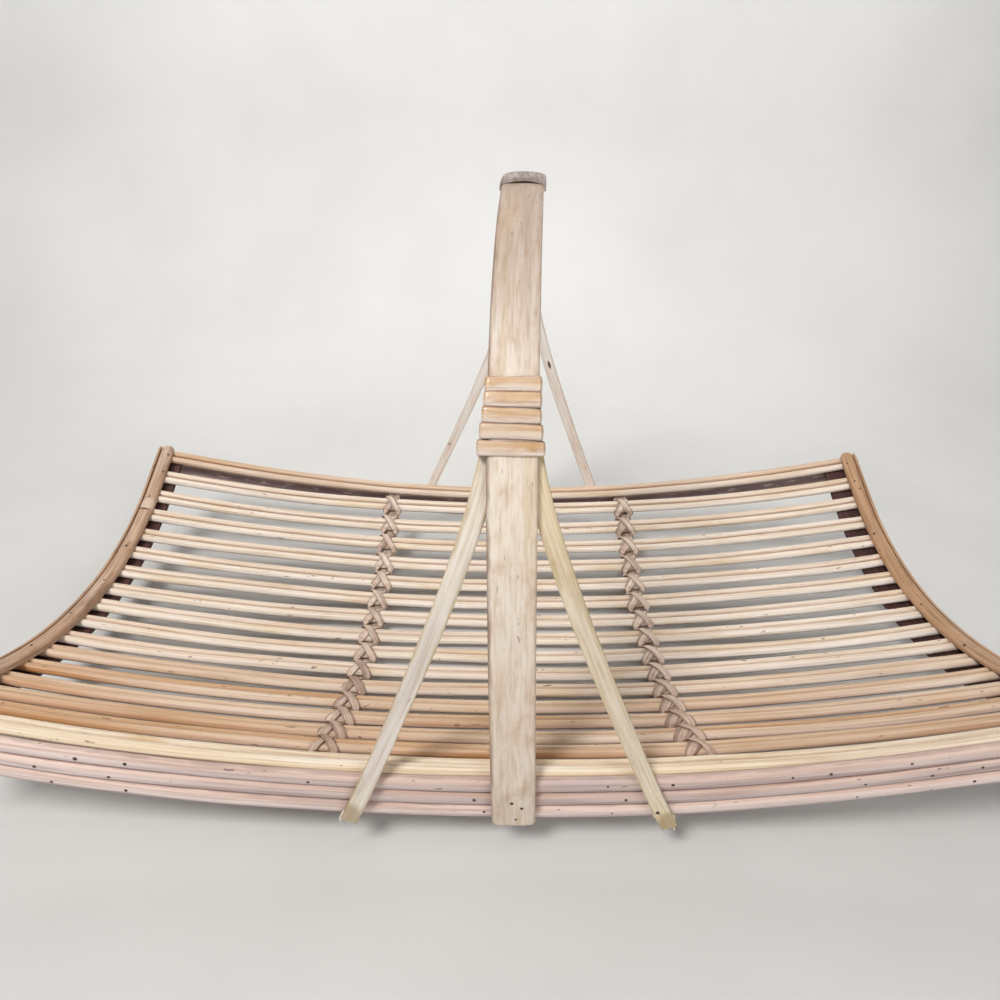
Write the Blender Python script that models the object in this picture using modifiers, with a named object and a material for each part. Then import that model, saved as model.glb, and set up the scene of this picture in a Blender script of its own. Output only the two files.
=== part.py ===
"""Cane garden trug: a shallow tray of paired canes under a hooped handle.

Blender 4.5, metres, +Z up. X runs along the canes, Y from the front rim to the rear rim, and the
trug stands on z = 0 with its middle at the origin. Most pieces are made straight and flat, as they
lie on the bench, and are then bent onto the tray or onto the handle's hoop.
"""
import math

import bmesh
import bpy
from mathutils import Matrix, Vector

# Gap left between pieces that touch
CLEARANCE = 0.0003

# Slats: round canes laid in pairs, from one end bar to the other; the front rim's pair is thicker
PAIR_COUNT = 17
PAIR_PITCH = 0.0203
CANE_DIAMETER = 0.0056
RIM_CANE_DIAMETER = 0.0067

# Tray: a round bottom with straight sloping sides, its ends lifted along a parabola
TRAY_LENGTH = 0.6008
BOTTOM_RADIUS = 0.298
SIDE_SLOPE = math.radians(24.0)
END_LIFT_FRONT = 0.0392
END_LIFT_MIDDLE = 0.0294
END_LIFT_REAR = 0.0308
REAR_RIM_SAG = 0.0034

# Ribs: two strips under the slats, planed level where the trug stands and notched for the lashings
RIB_SPACING = 0.200
RIB_WIDTH = 0.009
RIB_THICKNESS = 0.008
RIB_STANDING_THICKNESS = 0.0065
RIB_NOTCH_ROOT = 0.0032

# Lashings: one long strip of peel laced along each rib and back, so that it crosses over each pair
PEEL_WIDTH = 0.0047
PEEL_THICKNESS = 0.0007

# End bars: the cane ends are held between a half-round bar on top and a flat bar below
TOP_BAR_WIDTH = 0.0107
TOP_BAR_THICKNESS = 0.0045
BOTTOM_BAR_WIDTH_LEFT = 0.0175
BOTTOM_BAR_WIDTH_RIGHT = 0.0242
BOTTOM_BAR_THICKNESS = 0.004
END_STRIP_THICKNESS = 0.0022
END_STRIP_TOP = 0.0022

# Skirts: three half-round rods outside each rim, one under the other
SKIRT_ROD_COUNT = 3
SKIRT_ROD_HEIGHT = 0.0089
SKIRT_ROD_THICKNESS = 0.0038
SKIRT_RISE = -0.0025
SKIRT_END_SETBACK = 0.002

# Handle: one flat strip bent to a hoop, its feet outside the skirts, its crown twisted and leaning
HANDLE_WIDTH = 0.0226
HANDLE_CROWN_WIDTH = 0.0212
HANDLE_THICKNESS = 0.004
HANDLE_HEIGHT = 0.3154
ARCH_RADIUS = 0.148
FOOT_HEIGHT = 0.0225
FOOT_BEND_RADIUS = 0.060
HANDLE_TWIST = math.radians(3.2)
HANDLE_LEAN = 0.0019
HANDLE_OFFSET = 0.0018

# Cover over the crown of the handle
COVER_LENGTH = 0.044
COVER_THICKNESS = 0.0018
COVER_SIDE_THICKNESS = 0.0009
COVER_SIDE_DEPTH = 0.0018

# Bindings: peel wound round the handle and the strut tops behind it
BINDING_FROM_CROWN = 0.1465
BINDING_TURNS = 5
BINDING_TURN_WIDTH = 0.0067
BINDING_THICKNESS = 0.0007

# Struts: thin strips that spread from each binding to the skirt
STRUT_THICKNESS = 0.0032
STRUT_TOP_X = 0.0064
FRONT_STRUT_WIDTH = 0.0096
FRONT_STRUT_SPREAD = 0.0825
FRONT_STRUT_BOW = 0.080
FRONT_STRUT_SHIFT = -0.0026
REAR_STRUT_WIDTH = 0.0074
REAR_STRUT_SPREAD = 0.0810
REAR_STRUT_BOW = 0.060
REAR_STRUT_SHIFT = 0.0
STRUT_STATIONS = 18

# How finely the pieces are shaped
ROD_BEVEL_STEPS = 2
HALF_ROUND_CORNERS = 6
HOOP_BEND_STEP = math.radians(5.0)
RIM_SEARCH_STEPS = 50
MERGE_DISTANCE = 0.000005
SMOOTH_ANGLE = math.radians(40.0)
FLAT_ANGLE = math.radians(15.0)

# A domed face: its shoulders' place across and their height, as shares, and where its crest ends
DOME_SHOULDER_ACROSS = 0.82
DOME_SHOULDER_HEIGHT = 0.75
DOME_CREST_ACROSS = 0.40

# Sizes worked out from the ones above
CANE_RADIUS = CANE_DIAMETER / 2.0
CANE_SPACING = CANE_DIAMETER + CLEARANCE
RIM_CANE_RADIUS = RIM_CANE_DIAMETER / 2.0
RIM_CANE_SPACING = RIM_CANE_DIAMETER + CLEARANCE
HALF_LENGTH = TRAY_LENGTH / 2.0
RIB_X = RIB_SPACING / 2.0
RIM_ACROSS = (PAIR_COUNT - 1) / 2.0 * PAIR_PITCH
RIM_CANE_ACROSS = RIM_ACROSS + RIM_CANE_SPACING / 2.0
REAR_CANE_ACROSS = RIM_CANE_ACROSS + (RIM_CANE_RADIUS - CANE_RADIUS) / math.cos(SIDE_SLOPE)
STANDING_HEIGHT = RIB_STANDING_THICKNESS + CLEARANCE + CANE_RADIUS
TRAY_BASE = STANDING_HEIGHT - END_LIFT_MIDDLE * (RIB_X / HALF_LENGTH) ** 2

# Colours, roughness and metallic value of each material
FINISHES = {
    "straw_cane": ((0.80, 0.60, 0.36), 0.55, 0.0),
    "golden_cane": ((0.78, 0.53, 0.24), 0.50, 0.0),
    "brown_bar": ((0.46, 0.28, 0.15), 0.65, 0.0),
    "dark_bar": ((0.16, 0.08, 0.05), 0.75, 0.0),
    "pink_rod": ((0.56, 0.42, 0.34), 0.70, 0.0),
    "handle_bamboo": ((0.70, 0.52, 0.36), 0.50, 0.0),
    "binding_peel": ((0.68, 0.45, 0.22), 0.35, 0.0),
    "lashing_peel": ((0.42, 0.31, 0.26), 0.70, 0.0),
    "pale_strut": ((0.74, 0.64, 0.50), 0.65, 0.0),
    "crown_grey": ((0.34, 0.29, 0.26), 0.85, 0.0),
}


# Bending: from flat pieces to the curved tray, rims and hoop

def walk(segments, distance):
    """Place and heading after a distance along arcs and straights, each given as (length, turn)."""
    y, z, heading = 0.0, 0.0, 0.0
    for length, turn in segments + [(math.inf, 0.0)]:
        part = min(distance, length)
        angle = turn * part / length
        chord = 2.0 * length / turn * math.sin(angle / 2.0) if turn else part
        y += chord * math.cos(heading + angle / 2.0)
        z += chord * math.sin(heading + angle / 2.0)
        heading += angle
        distance -= part
    return y, z, heading


def between(marks, place):
    """Value at a place along (place, value) marks, straight between them and level beyond them."""
    if place <= marks[0][0]:
        return marks[0][1]
    for (start, first), (end, last) in zip(marks, marks[1:]):
        if place <= end:
            return first + (last - first) * (place - start) / (end - start)
    return marks[-1][1]


def pair_across(pair):
    """Distance across of a pair's middle; pair 1 is the rear rim and the last is the front rim."""
    if pair == 1:
        return REAR_CANE_ACROSS - CANE_SPACING / 2.0
    return ((PAIR_COUNT + 1) / 2.0 - pair) * PAIR_PITCH


def sag_marks():
    """Marks of the share of the rear rim's sag: none up to pair 2, all of it from pair 1 on."""
    return (pair_across(2) + CANE_DIAMETER, 0.0), (pair_across(1) - CANE_DIAMETER, 1.0)


def tray_section(across):
    """Place in the tray's middle section and its slope, at a distance across from the middle."""
    side = math.copysign(1.0, across)
    y, z, slope = walk([(BOTTOM_RADIUS * SIDE_SLOPE, SIDE_SLOPE)], abs(across))
    return side * y, z, side * slope


def end_lift(across):
    """How far the ends rise: a curve through the values at the front, the middle and the rear."""
    share = across / RIM_ACROSS
    tilt = (END_LIFT_REAR - END_LIFT_FRONT) / 2.0
    bow = (END_LIFT_REAR + END_LIFT_FRONT) / 2.0 - END_LIFT_MIDDLE
    return END_LIFT_MIDDLE + tilt * share + bow * share * share


def on_tray(point):
    """From (along, across, height above the slats' mid-surface) to the world."""
    along, across, height = point
    y, z, slope = tray_section(across)
    lift = end_lift(across)
    rise = 2.0 * lift * along / HALF_LENGTH ** 2
    normal = Vector((-rise * math.cos(slope), -math.sin(slope), math.cos(slope))).normalized()
    share = (along / HALF_LENGTH) ** 2
    z += TRAY_BASE + lift * share - between(sag_marks(), across) * REAR_RIM_SAG * (1.0 - share) ** 2
    return Vector((along, y, z)) + height * normal


def rim_face_y():
    """Y of the skirts' inner faces, just outside the outermost canes."""
    return tray_section(RIM_CANE_ACROSS)[0] + RIM_CANE_RADIUS + CLEARANCE


def on_rim(side):
    """Placer for (along, out from the skirt's inner face, height above its top edge)."""
    def place(point):
        along, out, height = point
        top = on_tray((along, side * RIM_CANE_ACROSS, 0.0)).z + RIM_CANE_RADIUS + SKIRT_RISE
        return Vector((along, side * (rim_face_y() + out), top + height))
    return place


def skirt_face_y():
    """Y of the skirts' outer faces."""
    return rim_face_y() + SKIRT_ROD_THICKNESS


def hoop_segments():
    """Arc, straight, bend and foot of the handle's middle surface, from its crown to one foot."""
    radius = ARCH_RADIUS - HANDLE_THICKNESS / 2.0
    foot_y = skirt_face_y() + CLEARANCE + HANDLE_THICKNESS / 2.0
    bend_z = on_rim(-1)((0.0, 0.0, 0.0)).z
    drop = HANDLE_HEIGHT - ARCH_RADIUS - bend_z
    arc = math.pi / 2.0 - math.acos(radius / math.hypot(foot_y, drop)) + math.atan2(drop, foot_y)
    bend = math.pi / 2.0 - arc
    trim = FOOT_BEND_RADIUS * math.tan(bend / 2.0)
    straight = math.sqrt(foot_y ** 2 + drop ** 2 - radius ** 2) - trim
    foot = bend_z - FOOT_HEIGHT - trim
    return [(radius * arc, -arc), (straight, 0.0), (FOOT_BEND_RADIUS * bend, -bend), (foot, 0.0)]


def on_hoop(point):
    """From (x, distance from the crown, out from the handle's middle surface) to the world.

    Positive distances run down the rear leg.
    """
    x, distance, out = point
    y, z, heading = walk(hoop_segments(), abs(distance))
    y = math.copysign(y - out * math.sin(heading), distance)
    z += HANDLE_HEIGHT - HANDLE_THICKNESS / 2.0 + out * math.cos(heading)
    share = z / HANDLE_HEIGHT
    return Vector((x + HANDLE_OFFSET + HANDLE_LEAN * share ** 2 + HANDLE_TWIST * share * y, y, z))


# Helpers that make and keep the pieces

def clear_scene():
    for old in list(bpy.data.objects):
        bpy.data.objects.remove(old, do_unlink=True)


def make_material(name):
    colour, roughness, metallic = FINISHES[name]
    material = bpy.data.materials.new(name)
    material.use_nodes = True
    shader = material.node_tree.nodes["Principled BSDF"]
    shader.inputs["Base Color"].default_value = (*colour, 1.0)
    shader.inputs["Roughness"].default_value = roughness
    shader.inputs["Metallic"].default_value = metallic
    material.diffuse_color = (*colour, 1.0)
    return material


def keep(name, mesh, material, collection, sharp_angle=SMOOTH_ANGLE):
    """Closes a mesh, shades it and links it as one named piece."""
    work = bmesh.new()
    work.from_mesh(mesh)
    bmesh.ops.remove_doubles(work, verts=work.verts, dist=MERGE_DISTANCE)
    bmesh.ops.recalc_face_normals(work, faces=work.faces)
    work.to_mesh(mesh)
    work.free()
    mesh.shade_smooth()
    mesh.set_sharp_from_angle(angle=sharp_angle)
    mesh.materials.clear()
    mesh.materials.append(material)
    collection.objects.link(bpy.data.objects.new(name, mesh))


def curve_to_mesh(curve):
    """Plain mesh of a curve's evaluated shape; the curve and its object are removed."""
    holder = bpy.data.objects.new("bench", curve)
    bpy.context.scene.collection.objects.link(holder)
    graph = bpy.context.evaluated_depsgraph_get()
    mesh = bpy.data.meshes.new_from_object(holder.evaluated_get(graph))
    bpy.data.objects.remove(holder, do_unlink=True)
    bpy.data.curves.remove(curve)
    return mesh


def poly_spline(curve, points, cyclic=False):
    spline = curve.splines.new("POLY")
    spline.points.add(len(points) - 1)
    for target, point in zip(spline.points, points):
        target.co = (*point, 1.0)
    spline.use_cyclic_u = cyclic


def flat_profile(points):
    """Closed outline object used as the section of a strip."""
    outline = bpy.data.curves.new("section", "CURVE")
    outline.dimensions = "2D"
    poly_spline(outline, [(x, y, 0.0) for x, y in points], cyclic=True)
    section = bpy.data.objects.new("section", outline)
    bpy.context.scene.collection.objects.link(section)
    return section


def strip_mesh(path, section_points):
    """A section carried along a path that lies flat on the bench; section y points up."""
    section = flat_profile(section_points)
    curve = bpy.data.curves.new("strip", "CURVE")
    curve.dimensions = "3D"
    curve.twist_mode = "Z_UP"
    curve.bevel_mode = "OBJECT"
    curve.bevel_object = section
    curve.use_fill_caps = True
    poly_spline(curve, path)
    mesh = curve_to_mesh(curve)
    outline = section.data
    bpy.data.objects.remove(section, do_unlink=True)
    bpy.data.curves.remove(outline)
    return mesh


def round_mesh(path, radii):
    """A round rod along a path that lies flat on the bench, with its radius at each point."""
    curve = bpy.data.curves.new("rod", "CURVE")
    curve.dimensions = "3D"
    curve.bevel_depth = max(radii)
    curve.bevel_resolution = ROD_BEVEL_STEPS
    curve.use_fill_caps = True
    poly_spline(curve, path)
    for point, radius in zip(curve.splines[0].points, radii):
        point.radius = radius / max(radii)
    return curve_to_mesh(curve)


def outline_mesh(points, width):
    """A flat outline in the bench's XY plane, thickened to a width along Z."""
    curve = bpy.data.curves.new("outline", "CURVE")
    curve.dimensions = "2D"
    curve.fill_mode = "BOTH"
    curve.extrude = width / 2.0
    poly_spline(curve, [(x, y, 0.0) for x, y in points], cyclic=True)
    return curve_to_mesh(curve)


def ribbon_mesh(cross_lines, thickness):
    """A flat strip through cross lines, each a pair of edge points, its thickness added outside."""
    work = bmesh.new()
    last = len(cross_lines) - 1
    bmesh.ops.create_grid(work, x_segments=last, y_segments=1, size=1.0)
    for vertex in work.verts:
        line = cross_lines[round((vertex.co.x + 1.0) / 2.0 * last)]
        vertex.co = line[1] if vertex.co.y > 0.0 else line[0]
    flat = bpy.data.meshes.new("ribbon")
    work.to_mesh(flat)
    work.free()
    holder = bpy.data.objects.new("ribbon", flat)
    bpy.context.scene.collection.objects.link(holder)
    thicken = holder.modifiers.new("Thickness", "SOLIDIFY")
    thicken.thickness = thickness
    thicken.offset = 1.0
    thicken.use_even_offset = True
    graph = bpy.context.evaluated_depsgraph_get()
    mesh = bpy.data.meshes.new_from_object(holder.evaluated_get(graph))
    bpy.data.objects.remove(holder, do_unlink=True)
    bpy.data.meshes.remove(flat)
    return mesh


def bend(mesh, place):
    for vertex in mesh.vertices:
        vertex.co = place(vertex.co)
    return mesh


def half_round(width, thickness, base=0.0):
    """Section of a split rod: flat below, domed above, its flat side at the given height."""
    points = []
    for index in range(HALF_ROUND_CORNERS):
        angle = math.pi * index / (HALF_ROUND_CORNERS - 1)
        points.append((width / 2.0 * math.cos(angle), base + thickness * math.sin(angle)))
    return points


def rectangle(width, low, high):
    half = width / 2.0
    return [(half, low), (half, high), (-half, high), (-half, low)]


def dome(half_width, rise):
    """Upper line of a strip's section, from its right edge over the middle to its left edge."""
    right = [
        (half_width, 0.0),
        (DOME_SHOULDER_ACROSS * half_width, DOME_SHOULDER_HEIGHT * rise),
        (DOME_CREST_ACROSS * half_width, rise),
    ]
    return right + [(-x, y) for x, y in reversed(right)]


def spread(low, high, pieces):
    return [low + (high - low) * index / pieces for index in range(pieces + 1)]


def lengthwise_stations(end):
    """Where the lengthwise pieces bend: closer over the ribs, even beyond them."""
    half = spread(0.0, RIB_X, 2) + spread(RIB_X, end, 4)[1:]
    return [-value for value in reversed(half[1:])] + half


def crosswise_stations(end):
    """Where the crosswise pieces bend: under or over each pair of canes."""
    return [-end] + [pair_across(pair) for pair in range(PAIR_COUNT, 0, -1)] + [end]


# Tray pieces

def make_canes(materials, collection):
    """The canes; those of the front rim are whittled down where the end bars hold them."""
    held = HALF_LENGTH - max(BOTTOM_BAR_WIDTH_LEFT, BOTTOM_BAR_WIDTH_RIGHT) - RIM_CANE_DIAMETER
    for pair in range(1, PAIR_COUNT + 1):
        rim = pair == PAIR_COUNT
        stations = lengthwise_stations(HALF_LENGTH)
        if rim:
            stations = sorted(stations + [-held, held])
        radii = [RIM_CANE_RADIUS if rim and abs(x) < held else CANE_RADIUS for x in stations]
        spacing = RIM_CANE_SPACING if rim else CANE_SPACING
        finish = "golden_cane" if rim else "straw_cane"
        for side, label in ((-1, "front"), (1, "rear")):
            across = pair_across(pair) + side * spacing / 2.0
            mesh = round_mesh([(x, across, 0.0) for x in stations], radii)
            name = f"cane_{pair:02d}_{label}"
            keep(name, bend(mesh, on_tray), materials[finish], collection)


def across_at_y(target, height):
    """Distance across at which a point at this height over the slats reaches a given Y."""
    low, high = 0.0, 2.0 * RIM_CANE_ACROSS
    for _ in range(RIM_SEARCH_STEPS):
        middle = (low + high) / 2.0
        if on_tray((RIB_X, middle, height)).y < target:
            low = middle
        else:
            high = middle
    return low


def half_pitch(pair, way):
    """Half the distance from a pair to its neighbour towards the rear (1) or the front (-1)."""
    return abs(pair_across(pair - way) - pair_across(pair)) / 2.0


def gaps_across():
    """Distances across of the middles of the gaps between the pairs, from front to rear."""
    return [pair_across(pair) - half_pitch(pair, -1) for pair in range(PAIR_COUNT - 1, 0, -1)]


def make_rib(name, side, materials, collection):
    """A strip laid under the slats, notched at each lashing, then planed level to stand on."""
    top = -(CANE_RADIUS + CLEARANCE)
    rim_top = -(RIM_CANE_RADIUS + CLEARANCE)
    bottom = top - RIB_THICKNESS
    root = top - RIB_NOTCH_ROOT
    end_y = rim_face_y() - CLEARANCE
    top_end, bottom_end = across_at_y(end_y, top), across_at_y(end_y, bottom)
    line = [(-across_at_y(end_y, rim_top), rim_top), (pair_across(PAIR_COUNT), rim_top)]
    line += [(pair_across(pair), top) for pair in range(PAIR_COUNT - 1, 1, -1)]
    line += [(across, top) for across, _ in sag_marks()]
    line += [(pair_across(1), top), (top_end, top), (bottom_end, bottom)]
    half_notch = PEEL_WIDTH / 2.0 + CLEARANCE
    for across in reversed(gaps_across()):
        line += [(across + half_notch, bottom), (across + half_notch, root)]
        line += [(across - half_notch, root), (across - half_notch, bottom)]
    line.append((-bottom_end, bottom))
    outline = [on_tray((RIB_X, across, height)).yz for across, height in line]
    mesh = outline_mesh(outline, RIB_WIDTH)
    for vertex in mesh.vertices:
        nearest = min(range(len(line)), key=lambda index: (outline[index] - vertex.co.xy).length)
        vertex.co = on_tray((side * RIB_X + vertex.co.z, *line[nearest]))
    work = bmesh.new()
    work.from_mesh(mesh)
    bmesh.ops.remove_doubles(work, verts=work.verts, dist=MERGE_DISTANCE)
    everything = work.verts[:] + work.edges[:] + work.faces[:]
    bmesh.ops.bisect_plane(work, geom=everything, plane_co=(0, 0, 0), plane_no=(0, 0, 1),
                           clear_inner=True)
    bmesh.ops.holes_fill(work, edges=[edge for edge in work.edges if edge.is_boundary])
    work.to_mesh(mesh)
    work.free()
    keep(name, mesh, materials["brown_bar"], collection, FLAT_ANGLE)


def lashing_pass(pairs, direction, layer):
    """Cross lines of the peel as it winds round the rib, over each pair in turn.

    It rises at the left side of the rib in the gap before a pair, crosses the pair aslant, goes
    down at the right side in the gap after it and returns under the rib.
    """
    step = layer * (PEEL_THICKNESS + CLEARANCE)
    beside = RIB_WIDTH / 2.0 + CLEARANCE + step
    under = CANE_RADIUS + RIB_NOTCH_ROOT + 2.0 * CLEARANCE + step
    over = CANE_RADIUS + CLEARANCE + step
    corner = over * math.tan(math.pi / 8.0)
    shoulder = CANE_SPACING / 2.0 + over
    crest = CANE_SPACING / 2.0 + corner
    slope_length = math.hypot(shoulder - crest, over - corner)
    crest_beside = beside * crest / (crest + slope_length)
    half = PEEL_WIDTH / 2.0
    half_aslant = half * math.hypot(1.0, beside / (crest + slope_length))
    lines = []
    for pair in pairs:
        before, after = half_pitch(pair, -direction), half_pitch(pair, direction)
        for x, y, z, aslant in (
                (-beside, -before, -under, False), (-beside, -before, -CANE_RADIUS, False),
                (-beside, -shoulder, corner, True), (-crest_beside, -crest, over, True),
                (crest_beside, crest, over, True), (beside, shoulder, corner, True),
                (beside, after, -CANE_RADIUS, False), (beside, after, -under, False)):
            middle = Vector((x, pair_across(pair) + direction * y, z))
            edge = Vector((0.0, half, 0.0))
            if aslant:
                edge = Vector((-direction * half_aslant, 0.0, 0.0))
            lines.append((middle - edge, middle + edge))
    return lines


def make_lashing(name, side, materials, collection):
    """Peel laced along one rib to the rear and back to the front, over every pair but the rims."""
    pairs = list(range(PAIR_COUNT - 1, 1, -1))
    lines = lashing_pass(pairs, 1, 0) + lashing_pass(pairs[::-1], -1, 1)
    start = tuple(Vector((0.0, *edge.yz)) for edge in lines[0])
    finish = tuple(Vector((0.0, *edge.yz)) for edge in lines[-1])
    lines = [start, *lines, finish]
    mesh = ribbon_mesh(lines, PEEL_THICKNESS)
    mesh.transform(Matrix.Translation((side * RIB_X, 0.0, 0.0)))
    keep(name, bend(mesh, on_tray), materials["lashing_peel"], collection)


def make_end_bars(label, side, materials, collection):
    """Top bar, bottom bar and outer strip that close one end of the tray."""
    rim_end = across_at_y(rim_face_y(), 0.0)
    top_middle = HALF_LENGTH - TOP_BAR_WIDTH / 2.0
    path = [(side * top_middle, across, 0.0) for across in crosswise_stations(rim_end)]
    section = half_round(TOP_BAR_WIDTH, TOP_BAR_THICKNESS, base=CANE_RADIUS + CLEARANCE)
    mesh = strip_mesh(path, section)
    keep(f"end_bar_top_{label}", bend(mesh, on_tray), materials["brown_bar"], collection)

    width = BOTTOM_BAR_WIDTH_LEFT if side < 0 else BOTTOM_BAR_WIDTH_RIGHT
    bottom_middle = HALF_LENGTH - width / 2.0
    path = [(side * bottom_middle, across, 0.0) for across in crosswise_stations(RIM_CANE_ACROSS)]
    high = -(CANE_RADIUS + CLEARANCE)
    section = rectangle(width, high - BOTTOM_BAR_THICKNESS, high)
    mesh = strip_mesh(path, section)
    keep(f"end_bar_bottom_{label}", bend(mesh, on_tray), materials["dark_bar"], collection, FLAT_ANGLE)

    strip_middle = HALF_LENGTH + CLEARANCE + END_STRIP_THICKNESS / 2.0
    path = [(side * strip_middle, across, 0.0) for across in crosswise_stations(rim_end)]
    low = -(CANE_RADIUS + CLEARANCE + BOTTOM_BAR_THICKNESS)
    section = rectangle(END_STRIP_THICKNESS, low, CANE_RADIUS + CLEARANCE + END_STRIP_TOP)
    mesh = strip_mesh(path, section)
    keep(f"end_strip_{label}", bend(mesh, on_tray), materials["brown_bar"], collection, FLAT_ANGLE)


def make_skirt(label, side, materials, collection):
    """Half-round rods, flat side in, stacked down from the rim."""
    path = [(x, 0.0, 0.0) for x in lengthwise_stations(HALF_LENGTH - SKIRT_END_SETBACK)]
    section = half_round(SKIRT_ROD_HEIGHT, SKIRT_ROD_THICKNESS)
    upright = Matrix.Rotation(-math.pi / 2.0, 4, "X")
    for index in range(SKIRT_ROD_COUNT):
        middle = -(SKIRT_ROD_HEIGHT / 2.0) - index * (SKIRT_ROD_HEIGHT + CLEARANCE)
        mesh = strip_mesh(path, section)
        mesh.transform(Matrix.Translation((0.0, 0.0, middle)) @ upright)
        name = f"skirt_{label}_{index + 1}"
        keep(name, bend(mesh, on_rim(side)), materials["pink_rod"], collection)


# Handle pieces

def hoop_stations():
    """Distances from the crown at which a leg bends."""
    marks, start = [0.0], 0.0
    for length, turn in hoop_segments():
        pieces = max(1, round(abs(turn) / HOOP_BEND_STEP))
        marks += [start + length * (index + 1) / pieces for index in range(pieces)]
        start += length
    return marks


def make_handle(materials, collection):
    """The hoop, domed on its outer face and narrower at the crown."""
    leg = hoop_stations()
    stations = [-mark for mark in reversed(leg[1:])] + leg
    half, face = HANDLE_WIDTH / 2.0, HANDLE_THICKNESS / 2.0
    section = [(half, -face), *dome(half, face), (-half, -face)]
    mesh = strip_mesh([(0.0, mark, 0.0) for mark in stations], section)
    crown_share = HANDLE_CROWN_WIDTH / HANDLE_WIDTH
    arc_length = hoop_segments()[0][0]
    for vertex in mesh.vertices:
        share = min(1.0, abs(vertex.co.y) / arc_length)
        vertex.co.x *= crown_share + (1.0 - crown_share) * share
    keep("handle_hoop", bend(mesh, on_hoop), materials["handle_bamboo"], collection, FLAT_ANGLE)


def make_crown_cover(materials, collection):
    """A thin cap over the crown, its sides turned down over the strip's edges."""
    half = HANDLE_CROWN_WIDTH / 2.0 + CLEARANCE
    low = HANDLE_THICKNESS / 2.0 + CLEARANCE
    inner = [(-half, -COVER_SIDE_DEPTH), *dome(half, low)[::-1], (half, -COVER_SIDE_DEPTH)]
    half += COVER_SIDE_THICKNESS
    crest = dome(half, low + COVER_THICKNESS)
    section = [(half, -COVER_SIDE_DEPTH), *crest, (-half, -COVER_SIDE_DEPTH), *inner]
    path = [(0.0, mark, 0.0) for mark in spread(-COVER_LENGTH / 2.0, COVER_LENGTH / 2.0, 4)]
    mesh = bend(strip_mesh(path, section), on_hoop)
    keep("crown_cover", mesh, materials["crown_grey"], collection, FLAT_ANGLE)


def strut_span():
    """Distances from the crown at which a strut starts, reaches the skirt's top and ends."""
    lengths = [length for length, _ in hoop_segments()]
    return BINDING_FROM_CROWN, sum(lengths[:3]), sum(lengths)


def strut_sizes(end):
    """Width, spread, bow and shift of the struts at the front (-1) or the rear (1)."""
    if end < 0:
        return FRONT_STRUT_WIDTH, FRONT_STRUT_SPREAD, FRONT_STRUT_BOW, FRONT_STRUT_SHIFT
    return REAR_STRUT_WIDTH, REAR_STRUT_SPREAD, REAR_STRUT_BOW, REAR_STRUT_SHIFT


def strut_x(end, side, distance):
    """Sideways place of a strut's middle, which leaves the binding straight and then bows out."""
    _, spread_x, bow, shift = strut_sizes(end)
    top, _, foot = strut_span()
    share = (math.hypot(distance - top, bow) - bow) / (math.hypot(foot - top, bow) - bow)
    return shift * share + side * (STRUT_TOP_X + (spread_x - STRUT_TOP_X) * share)


def strut_out(end, distance):
    """Height of a strut's middle: behind the handle while it lies there, then level with its back."""
    width, spread_x, bow, shift = strut_sizes(end)
    top, rim, foot = strut_span()
    behind = -(HANDLE_THICKNESS / 2.0 + CLEARANCE + STRUT_THICKNESS / 2.0)
    rim_rise = on_rim(1)((spread_x, 0.0, 0.0)).z - on_rim(1)((0.0, 0.0, 0.0)).z
    lean = -hoop_segments()[2][1]
    beside = CLEARANCE + rim_rise * math.tan(lean) - (HANDLE_THICKNESS - STRUT_THICKNESS) / 2.0
    clear_x = HANDLE_WIDTH / 2.0 + CLEARANCE + abs(shift) + width - STRUT_TOP_X
    reach = bow + clear_x / (spread_x - STRUT_TOP_X) * (math.hypot(foot - top, bow) - bow)
    clear = top + math.sqrt(reach ** 2 - bow ** 2)
    share = min(1.0, max(0.0, (distance - clear) / (rim - clear)))
    return behind + (beside - behind) * share


def make_strut(name, end, side, materials, collection):
    """A thin strip that starts in the binding and bows outwards to its foot on the skirt."""
    top, rim, foot = strut_span()
    marks = spread(top, rim, STRUT_STATIONS) + spread(rim, foot, 2)[1:]
    path = [(strut_x(end, side, mark), end * mark, strut_out(end, mark)) for mark in marks]
    section = rectangle(strut_sizes(end)[0], -STRUT_THICKNESS / 2.0, STRUT_THICKNESS / 2.0)
    mesh = bend(strip_mesh(path, section), on_hoop)
    keep(name, mesh, materials["pale_strut"], collection, FLAT_ANGLE)


def make_binding(name, end, materials, collection):
    """One strip of peel wound round the handle and the two strut tops behind it."""
    high = HANDLE_THICKNESS / 2.0 + 2.0 * CLEARANCE
    low = -(HANDLE_THICKNESS / 2.0 + STRUT_THICKNESS + 3.0 * CLEARANCE)
    half_strut = strut_sizes(end)[0] / 2.0
    edge = Vector((0.0, (BINDING_TURN_WIDTH - CLEARANCE) / 2.0, 0.0))
    lines = []
    for turn in range(BINDING_TURNS):
        middle = BINDING_FROM_CROWN + (turn + 0.5) * BINDING_TURN_WIDTH
        below = middle + BINDING_TURN_WIDTH / 2.0
        left = min(-HANDLE_WIDTH / 2.0, strut_x(end, -1, below) - half_strut) - 2.0 * CLEARANCE
        right = max(HANDLE_WIDTH / 2.0, strut_x(end, 1, below) + half_strut) + 2.0 * CLEARANCE
        for x, out in ((left, low), (left, 0.0), (left + HANDLE_THICKNESS, high),
                       (right - HANDLE_THICKNESS, high), (right, 0.0), (right, low)):
            place = Vector((x, end * middle, out))
            lines.append((place - edge, place + edge))
    mesh = ribbon_mesh(lines, BINDING_THICKNESS)
    keep(name, bend(mesh, on_hoop), materials["binding_peel"], collection)


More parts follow.
